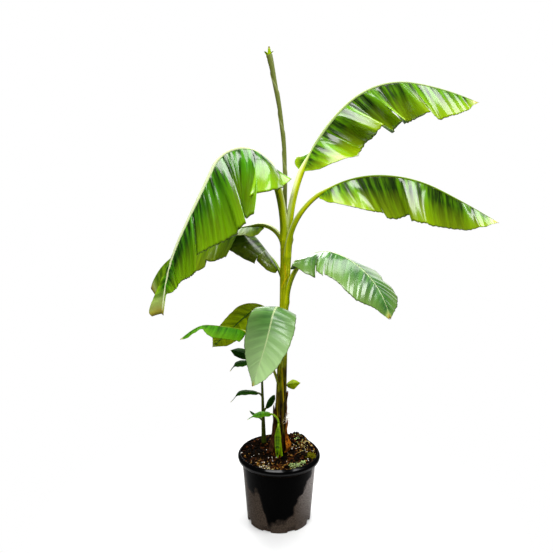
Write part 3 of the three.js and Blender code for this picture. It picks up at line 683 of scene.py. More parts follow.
def moulded_pot(name, roughness, index):
    """Injection-moulded black polyethylene: glossy and faintly uneven. The eye sees clean black in the
    middle of a side, and a greyer, duller film that climbs from the foot up both sides of it, with a
    wandering upper edge and darker specks: painted reflection of the pale floor and the bright sides,
    with dust specks in it. It is painted paler towards the right and upwards, a painted reflection too."""
    made, nodes = material(name)
    at = add(nodes, "TexCoord").outputs["Object"]
    across, _, height = add(nodes, "SeparateXYZ", (at,)).outputs
    # Sink ripples 60 mm across, film edge wandering over 50 mm, dust specks 3 mm across
    ripples = add(nodes, "TexNoise", {"Vector": at, "Scale": 16.0, "Detail": 1.0})
    wavering = add(nodes, "TexNoise", {"Vector": at, "Scale": 20.0, "Detail": 2.0})
    dust = add(nodes, "TexNoise", {"Vector": at, "Scale": 330.0, "Detail": 3.0})
    # Painted reflection: a greyer film whose upper edge climbs from the foot up both sides, with dust
    # specks in it
    left = add(nodes, "MapRange", (across, -0.07, -0.035, 0.135, 0.04))
    right = add(nodes, "MapRange", (across, 0.025, 0.11, 0.04, 0.2))
    far_left = add(nodes, "MapRange", (across, -0.116, -0.09, 0.22, 0.03))
    leftward = add(nodes, "Math", (left, far_left), operation="MAXIMUM")
    climb = add(nodes, "Math", (leftward, right), operation="MAXIMUM")
    stray = add(nodes, "MapRange", (wavering, 0.3, 0.7, -0.02, 0.02))
    edge = add(nodes, "Math", (climb, stray), operation="ADD")
    below = add(nodes, "Math", (edge, height), operation="SUBTRACT")
    painted_reflection_film = add(nodes, "MapRange", (below, -0.006, 0.012, 0.0, 1.0))
    specks = add(nodes, "MapRange", (dust, 0.32, 0.68, 0.3, 1.0))
    bloom = add(nodes, "Math", (painted_reflection_film, specks), operation="MULTIPLY")
    # Painted reflection: the film is painted paler grey towards the right and upwards
    rightward = add(nodes, "MapRange", (across, 0.05, 0.12, 0.0, 1.0))
    upward = add(nodes, "MapRange", (height, 0.03, 0.15, 0.2, 1.0))
    painted_side_reflection = add(nodes, "Math", (rightward, upward), operation="MULTIPLY")
    painted_reflection_colour = add(nodes, "Mix", (painted_side_reflection, linear("#4c4138"), linear("#aaa29e")))
    black = add(nodes, "Mix", (bloom, linear("#020202"), painted_reflection_colour))
    rough = add(nodes, "MapRange", (bloom, 0.0, 1.0, roughness, 0.4))
    raised = add(nodes, "Bump", {"Height": ripples, "Strength": 0.25, "Distance": 0.004})
    skin = add(nodes, "BsdfPrincipled", {
        "Base Color": black, "Roughness": rough, "Normal": raised, "IOR": index,
    })
    add(nodes, "OutputMaterial", {"Surface": skin})
    return made


def potting_mix():
    """Composted bark mix: moist, crumbly, nearly black. The eye sees brown-black crumbs of 3 to
    8 mm with lighter fibres and no gloss."""
    made, nodes = material("composted_bark_mix")
    at = add(nodes, "TexCoord").outputs["Object"]
    # Crumbs 5 mm across and fibres 1.5 mm
    crumbs = add(nodes, "TexVoronoi", {"Vector": at, "Scale": 200.0})
    fine = add(nodes, "TexNoise", {"Vector": at, "Scale": 650.0, "Detail": 3.0})
    brown = add(
        nodes, "ValToRGB", (fine,),
        stops=((0.4, "#020100"), (0.55, "#0c0703"), (0.75, "#341f0a")),
    )
    raised = add(nodes, "Bump", {"Height": crumbs, "Strength": 1.0, "Distance": 0.003})
    skin = add(nodes, "BsdfPrincipled", {
        "Base Color": brown, "Roughness": 0.9, "Normal": raised, "IOR": 1.06,
    })
    add(nodes, "OutputMaterial", {"Surface": skin})
    return made


def plain_grain(name, colour, roughness):
    """Small grains of one stuff, such as bark, perlite or moss: colour all over and a 2 mm grain."""
    made, nodes = material(name)
    at = add(nodes, "TexCoord").outputs["Object"]
    grit = add(nodes, "TexNoise", {"Vector": at, "Scale": 500.0, "Detail": 2.0})
    raised = add(nodes, "Bump", {"Height": grit, "Strength": 0.6, "Distance": 0.001})
    skin = add(nodes, "BsdfPrincipled", {
        "Base Color": linear(colour), "Roughness": roughness, "Normal": raised, "IOR": 1.1,
    })
    add(nodes, "OutputMaterial", {"Surface": skin})
    return made


def studio_floor():
    """Matt pale studio paper that thins out to nothing away from the plant, so that the eye sees a
    soft shadow by the pot and no horizon."""
    made, nodes = material("matt_studio_paper")
    at = add(nodes, "TexCoord").outputs["Object"]
    away = add(nodes, "VectorMath", (at,), operation="LENGTH")
    thin = add(
        nodes, "MapRange", (away, 0.25, 0.85, 0.0, 1.0), interpolation_type="SMOOTHSTEP",
    )
    paper = add(nodes, "BsdfPrincipled", {"Base Color": linear("#e6e6e6"), "Roughness": 0.9})
    gone = add(nodes, "BsdfTransparent")
    add(nodes, "OutputMaterial", {"Surface": add(nodes, "MixShader", (thin, paper, gone))})
    return made


# Leaf tones: in dark and light bands, at the margin and shone through; roughness, waxy coat,
# refractive index and the colour of painted light that pales a hanging blade towards its tip
TONES = {
    tone: banana_leaf("banana_leaf_" + tone, *values)
    for tone, values in {
        "fresh": ("#061a02", "#489004", "#a0d008", "#94d800", 0.2, 1.0, 1.3),
        "sunlit": ("#081a02", "#66a206", "#aac80a", "#acdc00", 0.2, 1.0, 1.3),
        "cool": ("#2c5e22", "#568e3c", "#82a64a", "#76b02e", 0.24, 0.9, 1.45),
        "bloom": ("#346a1a", "#5c9040", "#7ca458", "#6ca02c", 0.4, 0.7, 1.45, "#d4fcac"),
        "aged": ("#3c6402", "#78a404", "#90a40a", "#b0d000", 0.34, 0.3, 1.38),
        "olive": ("#6e8a02", "#a0bc04", "#a4b204", "#c4d400", 0.45, 0.0, 1.12),
        "vivid": ("#2a6402", "#4c9a02", "#74b004", "#7cc400", 0.5, 0.0, 1.2),
        "shade": ("#0a2202", "#184404", "#2e5606", "#285a06", 0.5, 0.0, 1.1),
        "dusky": ("#182c02", "#547404", "#88980a", "#c0dc00", 0.3, 0.6, 1.35),
        "underside": ("#6c8c50", "#92b074", "#a8c088", "#86b81c", 0.4, 0.0, 1.4),
    }.items()
}
STALK_SKINS = {
    "grown": leaf_stalk("banana_leaf_stalk", "#6c8800", "#b0c000", "#dcdc02", "#e8f0c0", "#5c8208"),
    "dark": leaf_stalk("side_shoot_stem", "#2a4a04", "#4a7208", "#7c9c1c", "#9ab44a", "#1c4404"),
    "young": leaf_stalk(
        "young_shoot_stem", "#5c8a04", "#8ab404", "#b4d010", "#b4d030", "#6ca004", "#86b004",
    ),
}
ROLLED = leaf_stalk("rolled_young_leaf", "#38440a", "#545e14", "#828838", "#b8c084", "#545e14")
TRUNK = sheathed_trunk()
PAPER = {
    "right": papery_sheath("dead_sheath_paper", "#240e02", "#a45606", "#dc8c10", "#e8b050"),
    "left": papery_sheath("rotted_sheath_paper", "#1c0c04", "#4e2a12", "#7e5230", "#a4825c"),
    "upper_right": papery_sheath("dead_sheath_shred", "#341804", "#84440a", "#b86a14", "#d8a458"),
}
FIBRE = plain_grain("frayed_sheath_fibre", "#d8c4a0", 0.8)
PLASTIC = moulded_pot("moulded_black_polyethylene", 0.12, 1.06)
HANDLED = moulded_pot("black_polyethylene_rubbed_by_hands", 0.14, 1.28)
MIX = potting_mix()
CRUMB_LOOKS = tuple(
    plain_grain(*values) for values in (
        ("pine_bark_dark", "#070402", 0.85), ("pine_bark_russet", "#44220a", 0.85),
        ("pine_bark_tan", "#8a642a", 0.85), ("expanded_perlite", "#e6e2d8", 0.8),
        ("pine_bark_bleached", "#c8ba7c", 0.85),
    )
)
GREEN_LOOKS = (plain_grain("moss_cushion", "#504e04", 0.9), plain_grain("seedling_leaves", "#a8c078", 0.5))


def middle_of(stem, height):
    """The middle of a leaning stem at a height: its foot moved sideways by the lean's tangent."""
    height = np.asarray(height, float)
    x = stem["foot"][0] + (height - STEM["base"]) * np.tan(np.radians(stem["lean"]))
    return np.stack([x, np.full_like(x, stem["foot"][1]), height], -1)


def growth(foot, heading, knots, rise, s, swing=0.0, roll=0.0):
    """A path that grows from foot: at length s it slopes as the rise runs from knot to knot and
    heads as the swing turns it over the blade; its points add up those directions in steps of
    about 1 mm. Gives points, forward, aside (to the left, rolled) and upward."""
    def ahead(length):
        slope = np.radians(np.interp(length, knots, rise))
        turned = np.clip((length - knots[1]) / (knots[-1] - knots[1]), 0, 1)
        turn = np.radians(heading + swing * turned)
        forward = ringed(np.cos(slope), turn, np.sin(slope))
        return forward, np.stack([-np.sin(turn), np.cos(turn), 0 * turn], -1)

    fine = np.linspace(0, knots[-1], int(knots[-1]) + 1)
    steps = ahead((fine[1:] + fine[:-1]) / 2)[0] * np.diff(fine)[:, None]
    line = np.asarray(foot) + np.concatenate([np.zeros((1, 3)), np.cumsum(steps, axis=0)])
    points = np.stack([np.interp(s, fine, line[:, k]) for k in range(3)], -1)
    forward, left = ahead(s)
    over = np.cross(forward, left)
    aside = left * np.cos(np.radians(roll)) + over * np.sin(np.radians(roll))
    return points, forward, aside, np.cross(forward, aside)


def leaf_path(leaf, s):
    """The path of a leaf's stalk and midrib at lengths s from its foot."""
    knots = np.concatenate([[0], leaf["stalk"] + leaf["blade"] * np.linspace(0, 1, len(leaf["rise"]) - 1)])
    return growth(
        leaf["start"], leaf["heading"], knots, leaf["rise"], s, leaf.get("swing", 0), leaf.get("roll", 0),
    )


def carried(path, sideways, upwards):
    """A section carried along a path: each ring's offsets along aside and upward, from its point."""
    points, _, aside, upward = path
    return points[:, None] + sideways[..., None] * aside[:, None] + upwards[..., None] * upward[:, None]


def outline(v, leaf, lobe):
    """Share of the half width at v: a lobe that swells as a square root, then a quarter sine to the
    widest place, then one less a power of the fall, itself to a power, down to the tip."""
    swell = lobe * np.sqrt(np.clip(v / LOBE_AT, 0, 1))
    rising = lobe + (1 - lobe) * np.sin(np.pi / 2 * np.clip((v - LOBE_AT) / (WIDEST_AT - LOBE_AT), 0, 1))
    fall = np.clip((v - WIDEST_AT) / (1 - WIDEST_AT), 0, 1)
    falling = (1 - fall ** leaf.get("blunt", BLUNT)) ** TIP_FALL
    return np.select([v < LOBE_AT, v < WIDEST_AT], [swell, rising], falling)


def half_blade(leaf, side, v, strip, cuts, rng):
    """One half of a blade on a grid of v along the rib by u from rib to margin. A vein leaves the rib
    swept towards the tip and folds down more towards the margin, so its points add up directions
    along u. Uneven zigzag pleats that run with the veins, a wavy margin and the droop and narrowing
    of the strips between tears are added to it; a strip only parts beyond the tear's inner share.
    Gives the points and the tilts."""
    size = leaf["size"]
    name = "left" if side > 0 else "right"
    along = v * leaf["blade"]
    path = leaf_path(leaf, leaf["stalk"] + along)
    forward, aside, upward = (part[:, None] for part in path[1:])
    u = np.linspace(0, 1, ACROSS + 1)

    own = np.array([v[0]] + [place for place, where, _ in cuts if where == side] + [1.0])
    roots = np.array([1.0] + [share for _, where, share in cuts if where == side] + [1.0])
    number = np.cumsum([0] + [where == side for _, where, _ in cuts])[strip]
    within = (v - own[number]) / (own[number + 1] - own[number])
    root = (roots[number] * (1 - within) + roots[number + 1] * within)[:, None]
    parted = np.clip((u - root) / (1.0001 - root), 0, 1)
    droop = rng.uniform(-1, 1, len(own))[number, None] * STRIP_DROOP
    pull = np.where(within < 0.5, (number > 0), (number < len(own) - 2)) * (2 * within - 1)
    strip_ends = own[number] + 1e-4, own[number + 1] - 1e-4

    if "width_" + name in leaf:
        length = drawn(v, leaf["width_" + name], *strip_ends)
    else:
        rule = leaf["half"] * outline(v, leaf, leaf["lobe"][0 if side > 0 else 1])
        length = np.minimum(rule, TIP_REACH * (1 - v) * leaf["blade"])
    rib = leaf["end_radius"] * np.interp(v, (0, 1), RIB_SHARE)
    ripple = 1 + MARGIN_RIPPLE * wander(along, RIPPLE_STEP, rng)
    length = np.maximum(length * ripple, 0.8 * rib)

    def own_line(kind, rule):
        return drawn(v, leaf.get(f"{kind}_{name}", rule), *strip_ends)[:, None]

    opening = own_line("open", ((0, leaf.get("open", 1)), (OPEN_BY, 1), (1, 1)))
    opening = opening * np.interp(v, (leaf.get("flat_from", FLAT_FROM), 1), (1, 0))[:, None]
    tilt = own_line("tilt", ((0, 0), (1, 0)))
    curl = own_line("curl", ((0, 0), (1, 0)))
    sweep = own_line("sweep", tuple(zip(SWEEP_AT, leaf.get("sweep", ()))))
    relief = size * leaf.get("pleat", 1) * own_line("relief", ((0, 1), (1, 1)))

    def folded(share, apart):
        at_rib, at_margin = leaf[name]
        down = at_rib + (at_margin - at_rib) * share ** leaf.get("bend", 1)
        return np.radians(down * opening + tilt + curl * (share - CURL_ABOUT) + droop * apart)[..., None]

    middle = (u[1:] + u[:-1]) / 2
    fold = folded(middle, (parted[:, 1:] + parted[:, :-1]) / 2)
    swept = np.radians(sweep + VEIN_BEND * (middle - 0.5))[..., None]
    outward = side * np.cos(fold) * aside + np.sin(fold) * upward
    steps = (np.cos(swept) * outward + np.sin(swept) * forward) * (length / ACROSS)[:, None, None]
    points = path[0][:, None] + np.concatenate([0 * steps[:, :1], np.cumsum(steps, axis=1)], axis=1)

    fold = folded(u, parted)
    normal = np.cos(fold) * upward - side * np.sin(fold) * aside
    calm_by, calm_from = CALM_ENDS
    calm = (ease(v, v[0], v[0] + calm_by) * (1 - ease(v, calm_from, 1.0)))[:, None]
    pleats = wander(along, PLEAT_STEP * size, rng)[:, None] * PLEAT_RISE * (1 - np.exp(-u / PLEAT_FROM))
    waves = wander(along, WAVE_STEP * size, rng)[:, None] * MARGIN_WAVE * u ** 2
    raised = (pleats + waves) * relief * calm
    gap = -(pull * TEAR_GAP * size)[:, None] * parted
    return points + raised[..., None] * normal + gap[..., None] * forward, tilt


def blade(name, leaf, nodes, seed):
    """A blade: both halves on one grid from the left margin over the rib to the right margin, with
    rows doubled at each tear and left unjoined beyond the tear's inner share."""
    rng = np.random.default_rng(seed)
    cuts = sorted(
        [(place, 1, share) for place, share in leaf.get("tears_left", ())]
        + [(place, -1, share) for place, share in leaf.get("tears_right", ())]
    )
    ends = [leaf.get("first", 0.0)] + [cut[0] for cut in cuts] + [1.0]
    step = ROW_STEP * leaf["size"] ** 0.5
    counts = [max(4, round((b - a) * leaf["blade"] / step)) for a, b in zip(ends, ends[1:])]
    v = np.concatenate([np.linspace(a, b, n) for a, b, n in zip(ends, ends[1:], counts)])
    strip = np.repeat(np.arange(len(counts)), counts)
    left, left_tilt = half_blade(leaf, 1, v, strip, cuts, rng)
    right, right_tilt = half_blade(leaf, -1, v, strip, cuts, rng)
    points = np.concatenate([left[:, ::-1], right[:, 1:]], axis=1)
    across = np.linspace(1, -1, 2 * ACROSS + 1)
    ids = numbered(points)
    starts = np.cumsum([0] + counts)
    for row, (_, side, share) in zip(starts[1:], cuts):
        held = (across * side <= share)
        ids[row, held] = ids[row - 1, held]
    faces = np.concatenate([quads(ids[a:b]) for a, b in zip(starts, starts[1:])])
    used, faces = np.unique(faces, return_inverse=True)
    faces = faces.reshape(-1, 4).tolist()
    grid_across, grid_v = np.broadcast_arrays(across, v[:, None])
    uv = unrolled(grid_across * leaf["half"], grid_v * leaf["blade"])[used]
    reach = np.interp(grid_v, (0, leaf.get("ripe", RIPE_FROM), 0.975, 1), (0, RIPE_FROM, 0.965, 1))
    # Painted shade: the further a strip tilts down from its fold, the darker its colour is painted
    shade = ease(-np.where(across > 0, left_tilt, right_tilt), *SHADED_BY)
    marks = {
        "share": np.abs(grid_across).ravel()[used], "reach": reach.ravel()[used],
        "shade": shade.ravel()[used],
    }
    looks = (TONES[leaf["tone"]], TONES[leaf.get("under", "underside")])
    put(
        name, points.reshape(-1, 3)[used], faces, looks, nodes, uv=uv, marks=marks,
        thick=BLADE_THICK * leaf["size"] ** 0.5,
    )


def channelled(angle, groove, lip):
    """Radius of a stalk's section against its round: a channel pressed into the top and a lip on
    each side of it, both bell curves of the angle from the top. Gives too how far each angle lies in
    the channel's middle, and between its lips."""
    from_top = (angle + np.pi / 2) % (2 * np.pi) - np.pi
    channel = -groove * np.exp(-(from_top / 0.5) ** 2)
    lips = lip * np.exp(-((np.abs(from_top) - 0.85) / 0.28) ** 2)
    return 1 + channel + lips, np.exp(-(from_top / 0.45) ** 2), np.exp(-(from_top / 1.15) ** 6)


def stalk_and_rib(name, leaf, nodes):
    """A leaf's stalk and midrib in one skin: a channelled section carried along the leaf's path. The
    stalk tapers from its foot, which spreads where it clasps the stem, and the rib shrinks along the
    blade and sinks so that the blade joins it near its top."""
    foot_radius = leaf["foot_radius"] * leaf.get("stalk_size", 1)
    end_radius = leaf["end_radius"] * leaf.get("stalk_end", leaf.get("stalk_size", 1))
    rib_radius = leaf["end_radius"] * leaf.get("rib", leaf.get("stalk_size", 1))
    stalk_at = np.linspace(0, leaf["stalk"], max(12, int(leaf["stalk"] / 4)), endpoint=False)
    rib_at = leaf["stalk"] + leaf["blade"] * np.linspace(0, 1, max(16, int(leaf["blade"] / 5)))
    below = leaf.get("below", 0.0)
    foot_at = -below * np.linspace(1, 0, 16, endpoint=False) if below else np.zeros(0)
    s = np.concatenate([foot_at, stalk_at, rib_at])
    v = np.clip((s - leaf["stalk"]) / leaf["blade"], 0, 1)
    on_stalk = np.clip(s / leaf["stalk"], 0, 1)
    radius = np.where(
        s < leaf["stalk"], foot_radius + (end_radius - foot_radius) * on_stalk,
        np.interp(v, (0, 0.08, 1), (end_radius, rib_radius * RIB_SHARE[0], rib_radius * RIB_SHARE[1])),
    )
    spread, fade = FOOT_SPREAD
    radius = radius + spread * foot_radius * np.exp(-np.abs(s) / (fade * foot_radius))
    radius = radius * (1 - 0.9 * ease(v, 0.96, 1.0))
    angle = np.linspace(0, 2 * np.pi, 28, endpoint=False)
    shape, top, between = channelled(angle, *CHANNEL)
    sink = RIB_SINK * ease(v, 0.0, 0.1) * radius
    path = list(leaf_path(leaf, np.maximum(s, 0)))
    if below:
        down = np.clip(-s / below, 0, 1)[:, None]
        inward = middle_of(STEM, leaf["height"] - below) - leaf["start"]
        path[0] = path[0] + down * inward * np.array([0.9, 0.9, 1.0])
        radius = radius * (1 - 0.3 * down[:, 0])
    rings = carried(
        path, radius[:, None] * shape * np.cos(angle),
        radius[:, None] * shape * np.sin(angle) - sink[:, None],
    )
    points, faces = tube(rings)
    uv = unrolled(angle * end_radius, s[:, None])
    on_rib = leaf.get("rib_pale", 0.4) * (1 - 0.6 * v)
    along = ease(v, 0, 0.1)[:, None]
    wings = 0.75 * between * ease(s, -0.1 * leaf["stalk"], 0.35 * leaf["stalk"])[:, None]
    pale = wings * (1 - along) + np.maximum(top * on_rib[:, None], leaf.get("rib_side", 0)) * along
    marks = {"share": pale, "reach": np.broadcast_to(v[:, None], pale.shape)}
    skin = STALK_SKINS[leaf.get("stalk_skin", "grown")]
    put(name, points, faces, (skin,), nodes, uv=uv, marks=marks)


def grown_leaves():
    """The nine large leaves, each a stalk with its rib and a blade."""
    for seed, (name, leaf) in enumerate(LEAVES.items()):
        start = middle_of(STEM, leaf["height"]) + np.array([*leaf["foot"], 0])
        leaf.update(
            start=start, size=(leaf["half"] / FULL_HALF) ** 0.5, below=FOOT_REACH,
            foot_radius=STALK_RADII[0], end_radius=STALK_RADII[1],
        )
        stalk_and_rib("leafstalk_" + name, leaf, ("stalk_" + name,))
        blade("leaf_" + name, leaf, LEAF_NODES[name], 11 + seed)


def side_shoots():
    """The side shoots: a leaning round stem that tapers, wrapped by a sheath edge, and its leaves."""
    for shoot, stem in SUCKERS.items():
        t = np.linspace(0, 1, 60)
        height = STEM["base"] - SHOOT_SUNK + t * (stem["height"] + SHOOT_SUNK)
        angle = np.linspace(0, 2 * np.pi, 28, endpoint=False)
        radius = np.interp(t, (0, 1 / 3, 2 / 3, 1), stem["radii"])[:, None]
        turn = (angle - SHOOT_WINDING * t[:, None]) % (2 * np.pi) / (2 * np.pi)
        wrap = radius * (1 + SHOOT_STEP * (turn - 0.5))
        points, faces = tube(middle_of(stem, height)[:, None] + ringed(wrap, angle))
        uv = unrolled(angle * radius.mean(), height[:, None])
        marks = dict.fromkeys(("share", "reach"), np.zeros(len(points)))
        skin = stem.get("skin", "dark")
        node = f"sucker_{shoot}_stem"
        put(f"shoot_{shoot}_stem", points, faces, (STALK_SKINS[skin],), (node,), uv=uv, marks=marks)
        for seed, (name, values) in enumerate(stem["leaves"].items()):
            from_height, heading, roll, stalk, length, half, rise = values
            tone = stem.get("tones", {}).get(name, stem["tone"])
            leaf = dict(
                SMALL_LEAF, start=middle_of(stem, from_height), heading=heading, roll=roll, stalk=stalk,
                blade=length, half=half, rise=rise, tone=tone, under=tone, stalk_skin=skin,
            )
            if name in THREAD_TIPPED:
                withered = [(v, share * half) for v, share in THREAD_OUTLINE]
                leaf.update(width_left=withered, width_right=withered)
            stalk_and_rib(f"shoot_{shoot}_leafstalk_{name}", leaf, ())
            blade(f"shoot_{shoot}_leaf_{name}", leaf, (f"sucker_{shoot}_leaf_{name}",), 40 + seed)


def trunk():
    """The trunk: rings round a leaning middle, radius by height, rounded in at the crown. Each sheath
    stands proud on one side of its free edge, and falls away round the trunk from it."""
    z = np.linspace(STEM["base"] - 10, STEM["top"] + CROWN_RISE, 260)
    angle = np.linspace(0, 360, 84, endpoint=False)
    radius = np.interp(z, np.array(STEM["heights"]) + STEM["base"], STEM["radii"])
    crown = ease(z, STEM["top"] - CROWN_RISE, STEM["top"] + CROWN_RISE)
    radius = (radius * (1 - crown) + CROWN_RADIUS * crown)[:, None] + 0 * angle
    edge = np.zeros_like(radius)
    for places, proud in SHEATH_EDGES:
        heights, headings = np.array(places).T
        at = np.interp(z, heights[::-1], headings[::-1])[:, None]
        off = (angle - at + 180) % 360 - 180
        top, foot = heights[0], heights[-1]
        foot_fade = ease(z, foot - EDGE_FADE, foot + EDGE_FADE)
        top_fade = 1 - ease(z, top - EDGE_FADE, top + EDGE_FADE)
        inside = (foot_fade * top_fade)[:, None]
        radius = radius + proud * inside * np.where(off > 0, np.exp(-off / SHEATH_FALL), 0)
        edge = np.maximum(edge, inside * np.exp(-(np.radians(off) * radius / EDGE_LINE) ** 2))
    points, faces = tube(middle_of(STEM, z)[:, None] + ringed(radius, np.radians(angle)))
    put("trunk", points, faces, (TRUNK,), ("pseudostem",), marks={"edge": edge})


def dry_sheaths():
    """Papery sheaths: a sheet round part of the trunk that narrows upwards, flares at its foot by a
    square and scoops out above it in a bell, crinkled across its fibres, with a ragged upper edge."""
    for seed, (name, sheath) in enumerate(DRY_SHEATHS.items()):
        rng = np.random.default_rng(70 + seed)
        t = np.linspace(0, 1, 60)[:, None]
        share = np.linspace(0, 1, 64)
        middle = (sheath["start"] + sheath["end"]) / 2
        reach = (sheath["end"] - sheath["start"]) / 2 * (1 - sheath["narrowing"] * t)
        angle = middle + reach * (2 * share - 1)
        ragged = sheath["ragged"] * (0.5 + 0.5 * wander(share * 100, 6, rng))
        height = sheath["low"] + t * (sheath["high"] - ragged - sheath["low"])
        trunk_radius = np.interp(height, STEM["heights"], STEM["radii"])
        crinkle = 0.9 * wander(share * 100, 9, rng) * (0.4 + t)
        crinkle = crinkle + 0.7 * wander(t[:, 0] * 100, 12, rng)[:, None]
        curl = sheath["curl"] * ease(t, 0.7, 1.0) * (0.6 + 0.4 * wander(share * 100, 14, rng))
        scoop = sheath["scoop"] * np.exp(-((t - 0.2) / 0.16) ** 2)
        radius = trunk_radius + sheath["stand"] + sheath["flare"] * (1 - t) ** 2 + scoop + crinkle + curl
        points = middle_of(STEM, height + STEM["base"]) + ringed(radius, np.radians(angle))
        put(
            "papery_sheath_" + name, points.reshape(-1, 3), quads(numbered(points)),
            (PAPER[name],), ("dry_sheath_" + name,), thick=1.0,
        )


def frayed_fibres():
    """Loose fibres over the right sheath's torn top: thin round strands that leave the trunk steeply
    and bow over, each a path whose slope falls evenly along it."""
    rng = np.random.default_rng(83)
    turn = np.linspace(0, 2 * np.pi, 6, endpoint=False)
    strands = []
    for heading in rng.uniform(*FIBRES["headings"], FIBRES["count"]):
        height = rng.uniform(*FIBRES["heights"])
        length = rng.uniform(*FIBRES["lengths"])
        out = np.interp(height, STEM["heights"], STEM["radii"]) - 1
        foot = middle_of(STEM, STEM["base"] + height) + ringed(out, np.radians(heading))
        s = np.linspace(0, length, 10)
        path = growth(foot, heading, length * np.array([0, 0.4, 1]), (75, 40, rng.uniform(-70, 60)), s)
        radius = np.interp(s, (0, length), FIBRES["radii"])[:, None]
        strands.append(tube(carried(path, radius * np.cos(turn), radius * np.sin(turn))))
    points, faces = joined(strands)
    put("sheath_fibres", points, faces, (FIBRE,))


def rolled_leaf():
    """The rolled new leaf: a round section whose radius steps once where the sheet laps over itself,
    the step winding round down the path; its end frays into four curling flaps."""
    s = np.linspace(-SPEAR["below"], SPEAR["length"] - SPEAR["fray"], 300)
    knots = SPEAR["length"] * np.array([0, 1, 2, 3]) / 3
    start = middle_of(STEM, SPEAR["height"]) + np.array([*SPEAR["foot"], 0])
    angle = np.linspace(0, 2 * np.pi, 48, endpoint=False)
    radius = np.interp(s / SPEAR["length"], SPEAR["wide_at"], SPEAR["radii"])[:, None]
    lap = angle / (2 * np.pi)
    turn = angle + 2 * np.pi * SPEAR["lap_turns"] * s[:, None] / SPEAR["length"]
    wrap = radius * (SPEAR["lap_from"] + SPEAR["lap_step"] * lap)
    path = list(growth(start, SPEAR["heading"], knots, SPEAR["rise"], np.maximum(s, 0)))
    down = np.clip(-s / SPEAR["below"], 0, 1)[:, None]
    path[0] = path[0] + down * (middle_of(STEM, SPEAR["height"] - SPEAR["below"]) - start)
    parts = [tube(carried(path, wrap * np.cos(turn), wrap * np.sin(turn)))]
    end = growth(start, SPEAR["heading"], knots, SPEAR["rise"], s[-1:])
    t = np.linspace(0, 1, 16)[:, None]
    for place, length, curl in SPEAR["flaps"]:
        fan = place + np.linspace(-1, 1, 9) * (1 - 0.8 * t)
        round_it = np.cos(fan)[..., None] * end[2] + np.sin(fan)[..., None] * end[3]
        out = radius[-1] * (0.95 + curl * t ** 2)
        up = length * (t - 0.3 * curl * t ** 2)
        flap = end[0] + out[..., None] * round_it + up[..., None] * end[1]
        inner = flap - SPEAR["flap_wall"] * round_it
        parts.append(tube(np.concatenate([flap, inner[:, ::-1]], axis=1)))
    points, faces = joined(parts)
    tall = (points[:, 2] - points[:, 2].min()) * MM
    uv = np.stack([np.arctan2(points[:, 1] - start[1], points[:, 0] - start[0]) * 8 * MM, tall], -1)
    on_flap = np.arange(len(points)) >= s.size * angle.size
    share = np.full(len(points), 0.25)
    share[~on_flap] = np.tile(0.1 + 0.18 * ease(lap, 0.75, 1.0), s.size)
    withering = 0.9 + 0.1 * ease(tall / tall.max(), 0.98, 1)
    marks = {
        "share": share, "reach": np.where(on_flap, withering, 0.9 * tall / tall.max()), "shade": 0 * share,
    }
    kinds = np.arange(len(faces)) >= len(parts[0][1])
    looks = (ROLLED, TONES["olive"])
    put("rolled_leaf", points, faces, looks, ("spear_leaf",), uv=uv, marks=marks, kinds=kinds)


def rounded(corners, radius, count=6):
    """A profile with each inner corner cut back by radius and turned through a curve: a quadratic
    sweep from the point before the corner to the point after it."""
    corners = np.asarray(corners, float)
    before, at, after = corners[:-2], corners[1:-1], corners[2:]
    back = (before - at) / np.linalg.norm(before - at, axis=1, keepdims=True)
    on = (after - at) / np.linalg.norm(after - at, axis=1, keepdims=True)
    room = np.minimum(np.linalg.norm(before - at, axis=1), np.linalg.norm(after - at, axis=1)) * 0.45
    cut = np.minimum(radius, room)[:, None, None]
    t = np.linspace(0, 1, count)[:, None]
    bend = at[:, None] + cut * ((1 - t) ** 2 * back[:, None] + t ** 2 * on[:, None])
    return np.concatenate([corners[:1], bend.reshape(-1, 2), corners[-1:]])


def nursery_pot():
    """The pot: a rounded profile turned about the upright axis. Round the foot the wall's lower edge
    rises and steps inwards at each drain notch."""
    lip_low = POT["height"] - POT["lip"] - POT["lip_skirt"]
    inner_lip = POT["rim"] - POT["lip_wall"]
    # From the middle of the underside out round the foot, up the wall, over the lip and down inside
    body = rounded((
        (0, 6), (POT["foot"] - 30, 6), (POT["foot"] - 24, 0), (POT["foot"] - 1, 0), (POT["foot"], 1.5),
        (POT["foot"] + 1.5, 20), (POT["body_top"], lip_low), (POT["rim"] - 5, lip_low + 1),
        (POT["rim"], lip_low + 8), (POT["rim"], POT["height"] - 9), (POT["rim"] - 8, POT["height"]),
        (inner_lip - 3, POT["height"]), (inner_lip - 6, POT["height"] - 4), (inner_lip - 6, lip_low + 3),
        (POT["body_top"] - 3, lip_low), (POT["body_top"] - 4, lip_low - 20),
    ), POT["edge_round"])
    fine = np.linspace(-0.5, 0.5, 29)
    half = np.degrees(np.arcsin(POT["notch_width"] / 2 / POT["foot"])) / 360 * POT["notches"]
    wide = half * POT["notch_flare"]
    warped = np.sort(np.concatenate([fine[:-1], [-half, half, -wide, wide]]))
    turn = (np.arange(POT["notches"])[:, None] + 0.5 + warped) / POT["notches"] * 2 * np.pi
    turn = turn.ravel()
    in_notch = np.tile(np.abs(warped) <= half + 1e-9, POT["notches"])
    r = np.repeat(body[:, :1], len(turn), axis=1)
    z = np.repeat(body[:, 1:], len(turn), axis=1)
    low = (z < POT["notch_height"]) & (r > POT["foot"] - POT["notch_depth"])
    cut = low & in_notch
    r = np.where(cut, POT["foot"] - POT["notch_depth"], r)
    z = np.where(cut & (z > 3), POT["notch_height"], z)
    points = ringed(r, turn, z)
    ids = numbered(points)
    faces = quads(ids, closed=True) + [ids[-1].tolist()]
    ring_r, ring_z = (body[:-1] + body[1:]).T / 2
    on_lip = (ring_r > POT["body_top"] + 2) & (ring_z > lip_low + 9)
    kinds = np.append(np.repeat(on_lip, len(turn)), True)
    looks = (PLASTIC, HANDLED)
    piece = put("nursery_pot", points.reshape(-1, 3), faces, looks, ("pot",), kinds=kinds)
    weld = piece.modifiers.new("weld", "WELD")
    weld.merge_threshold = 0.1 * MM


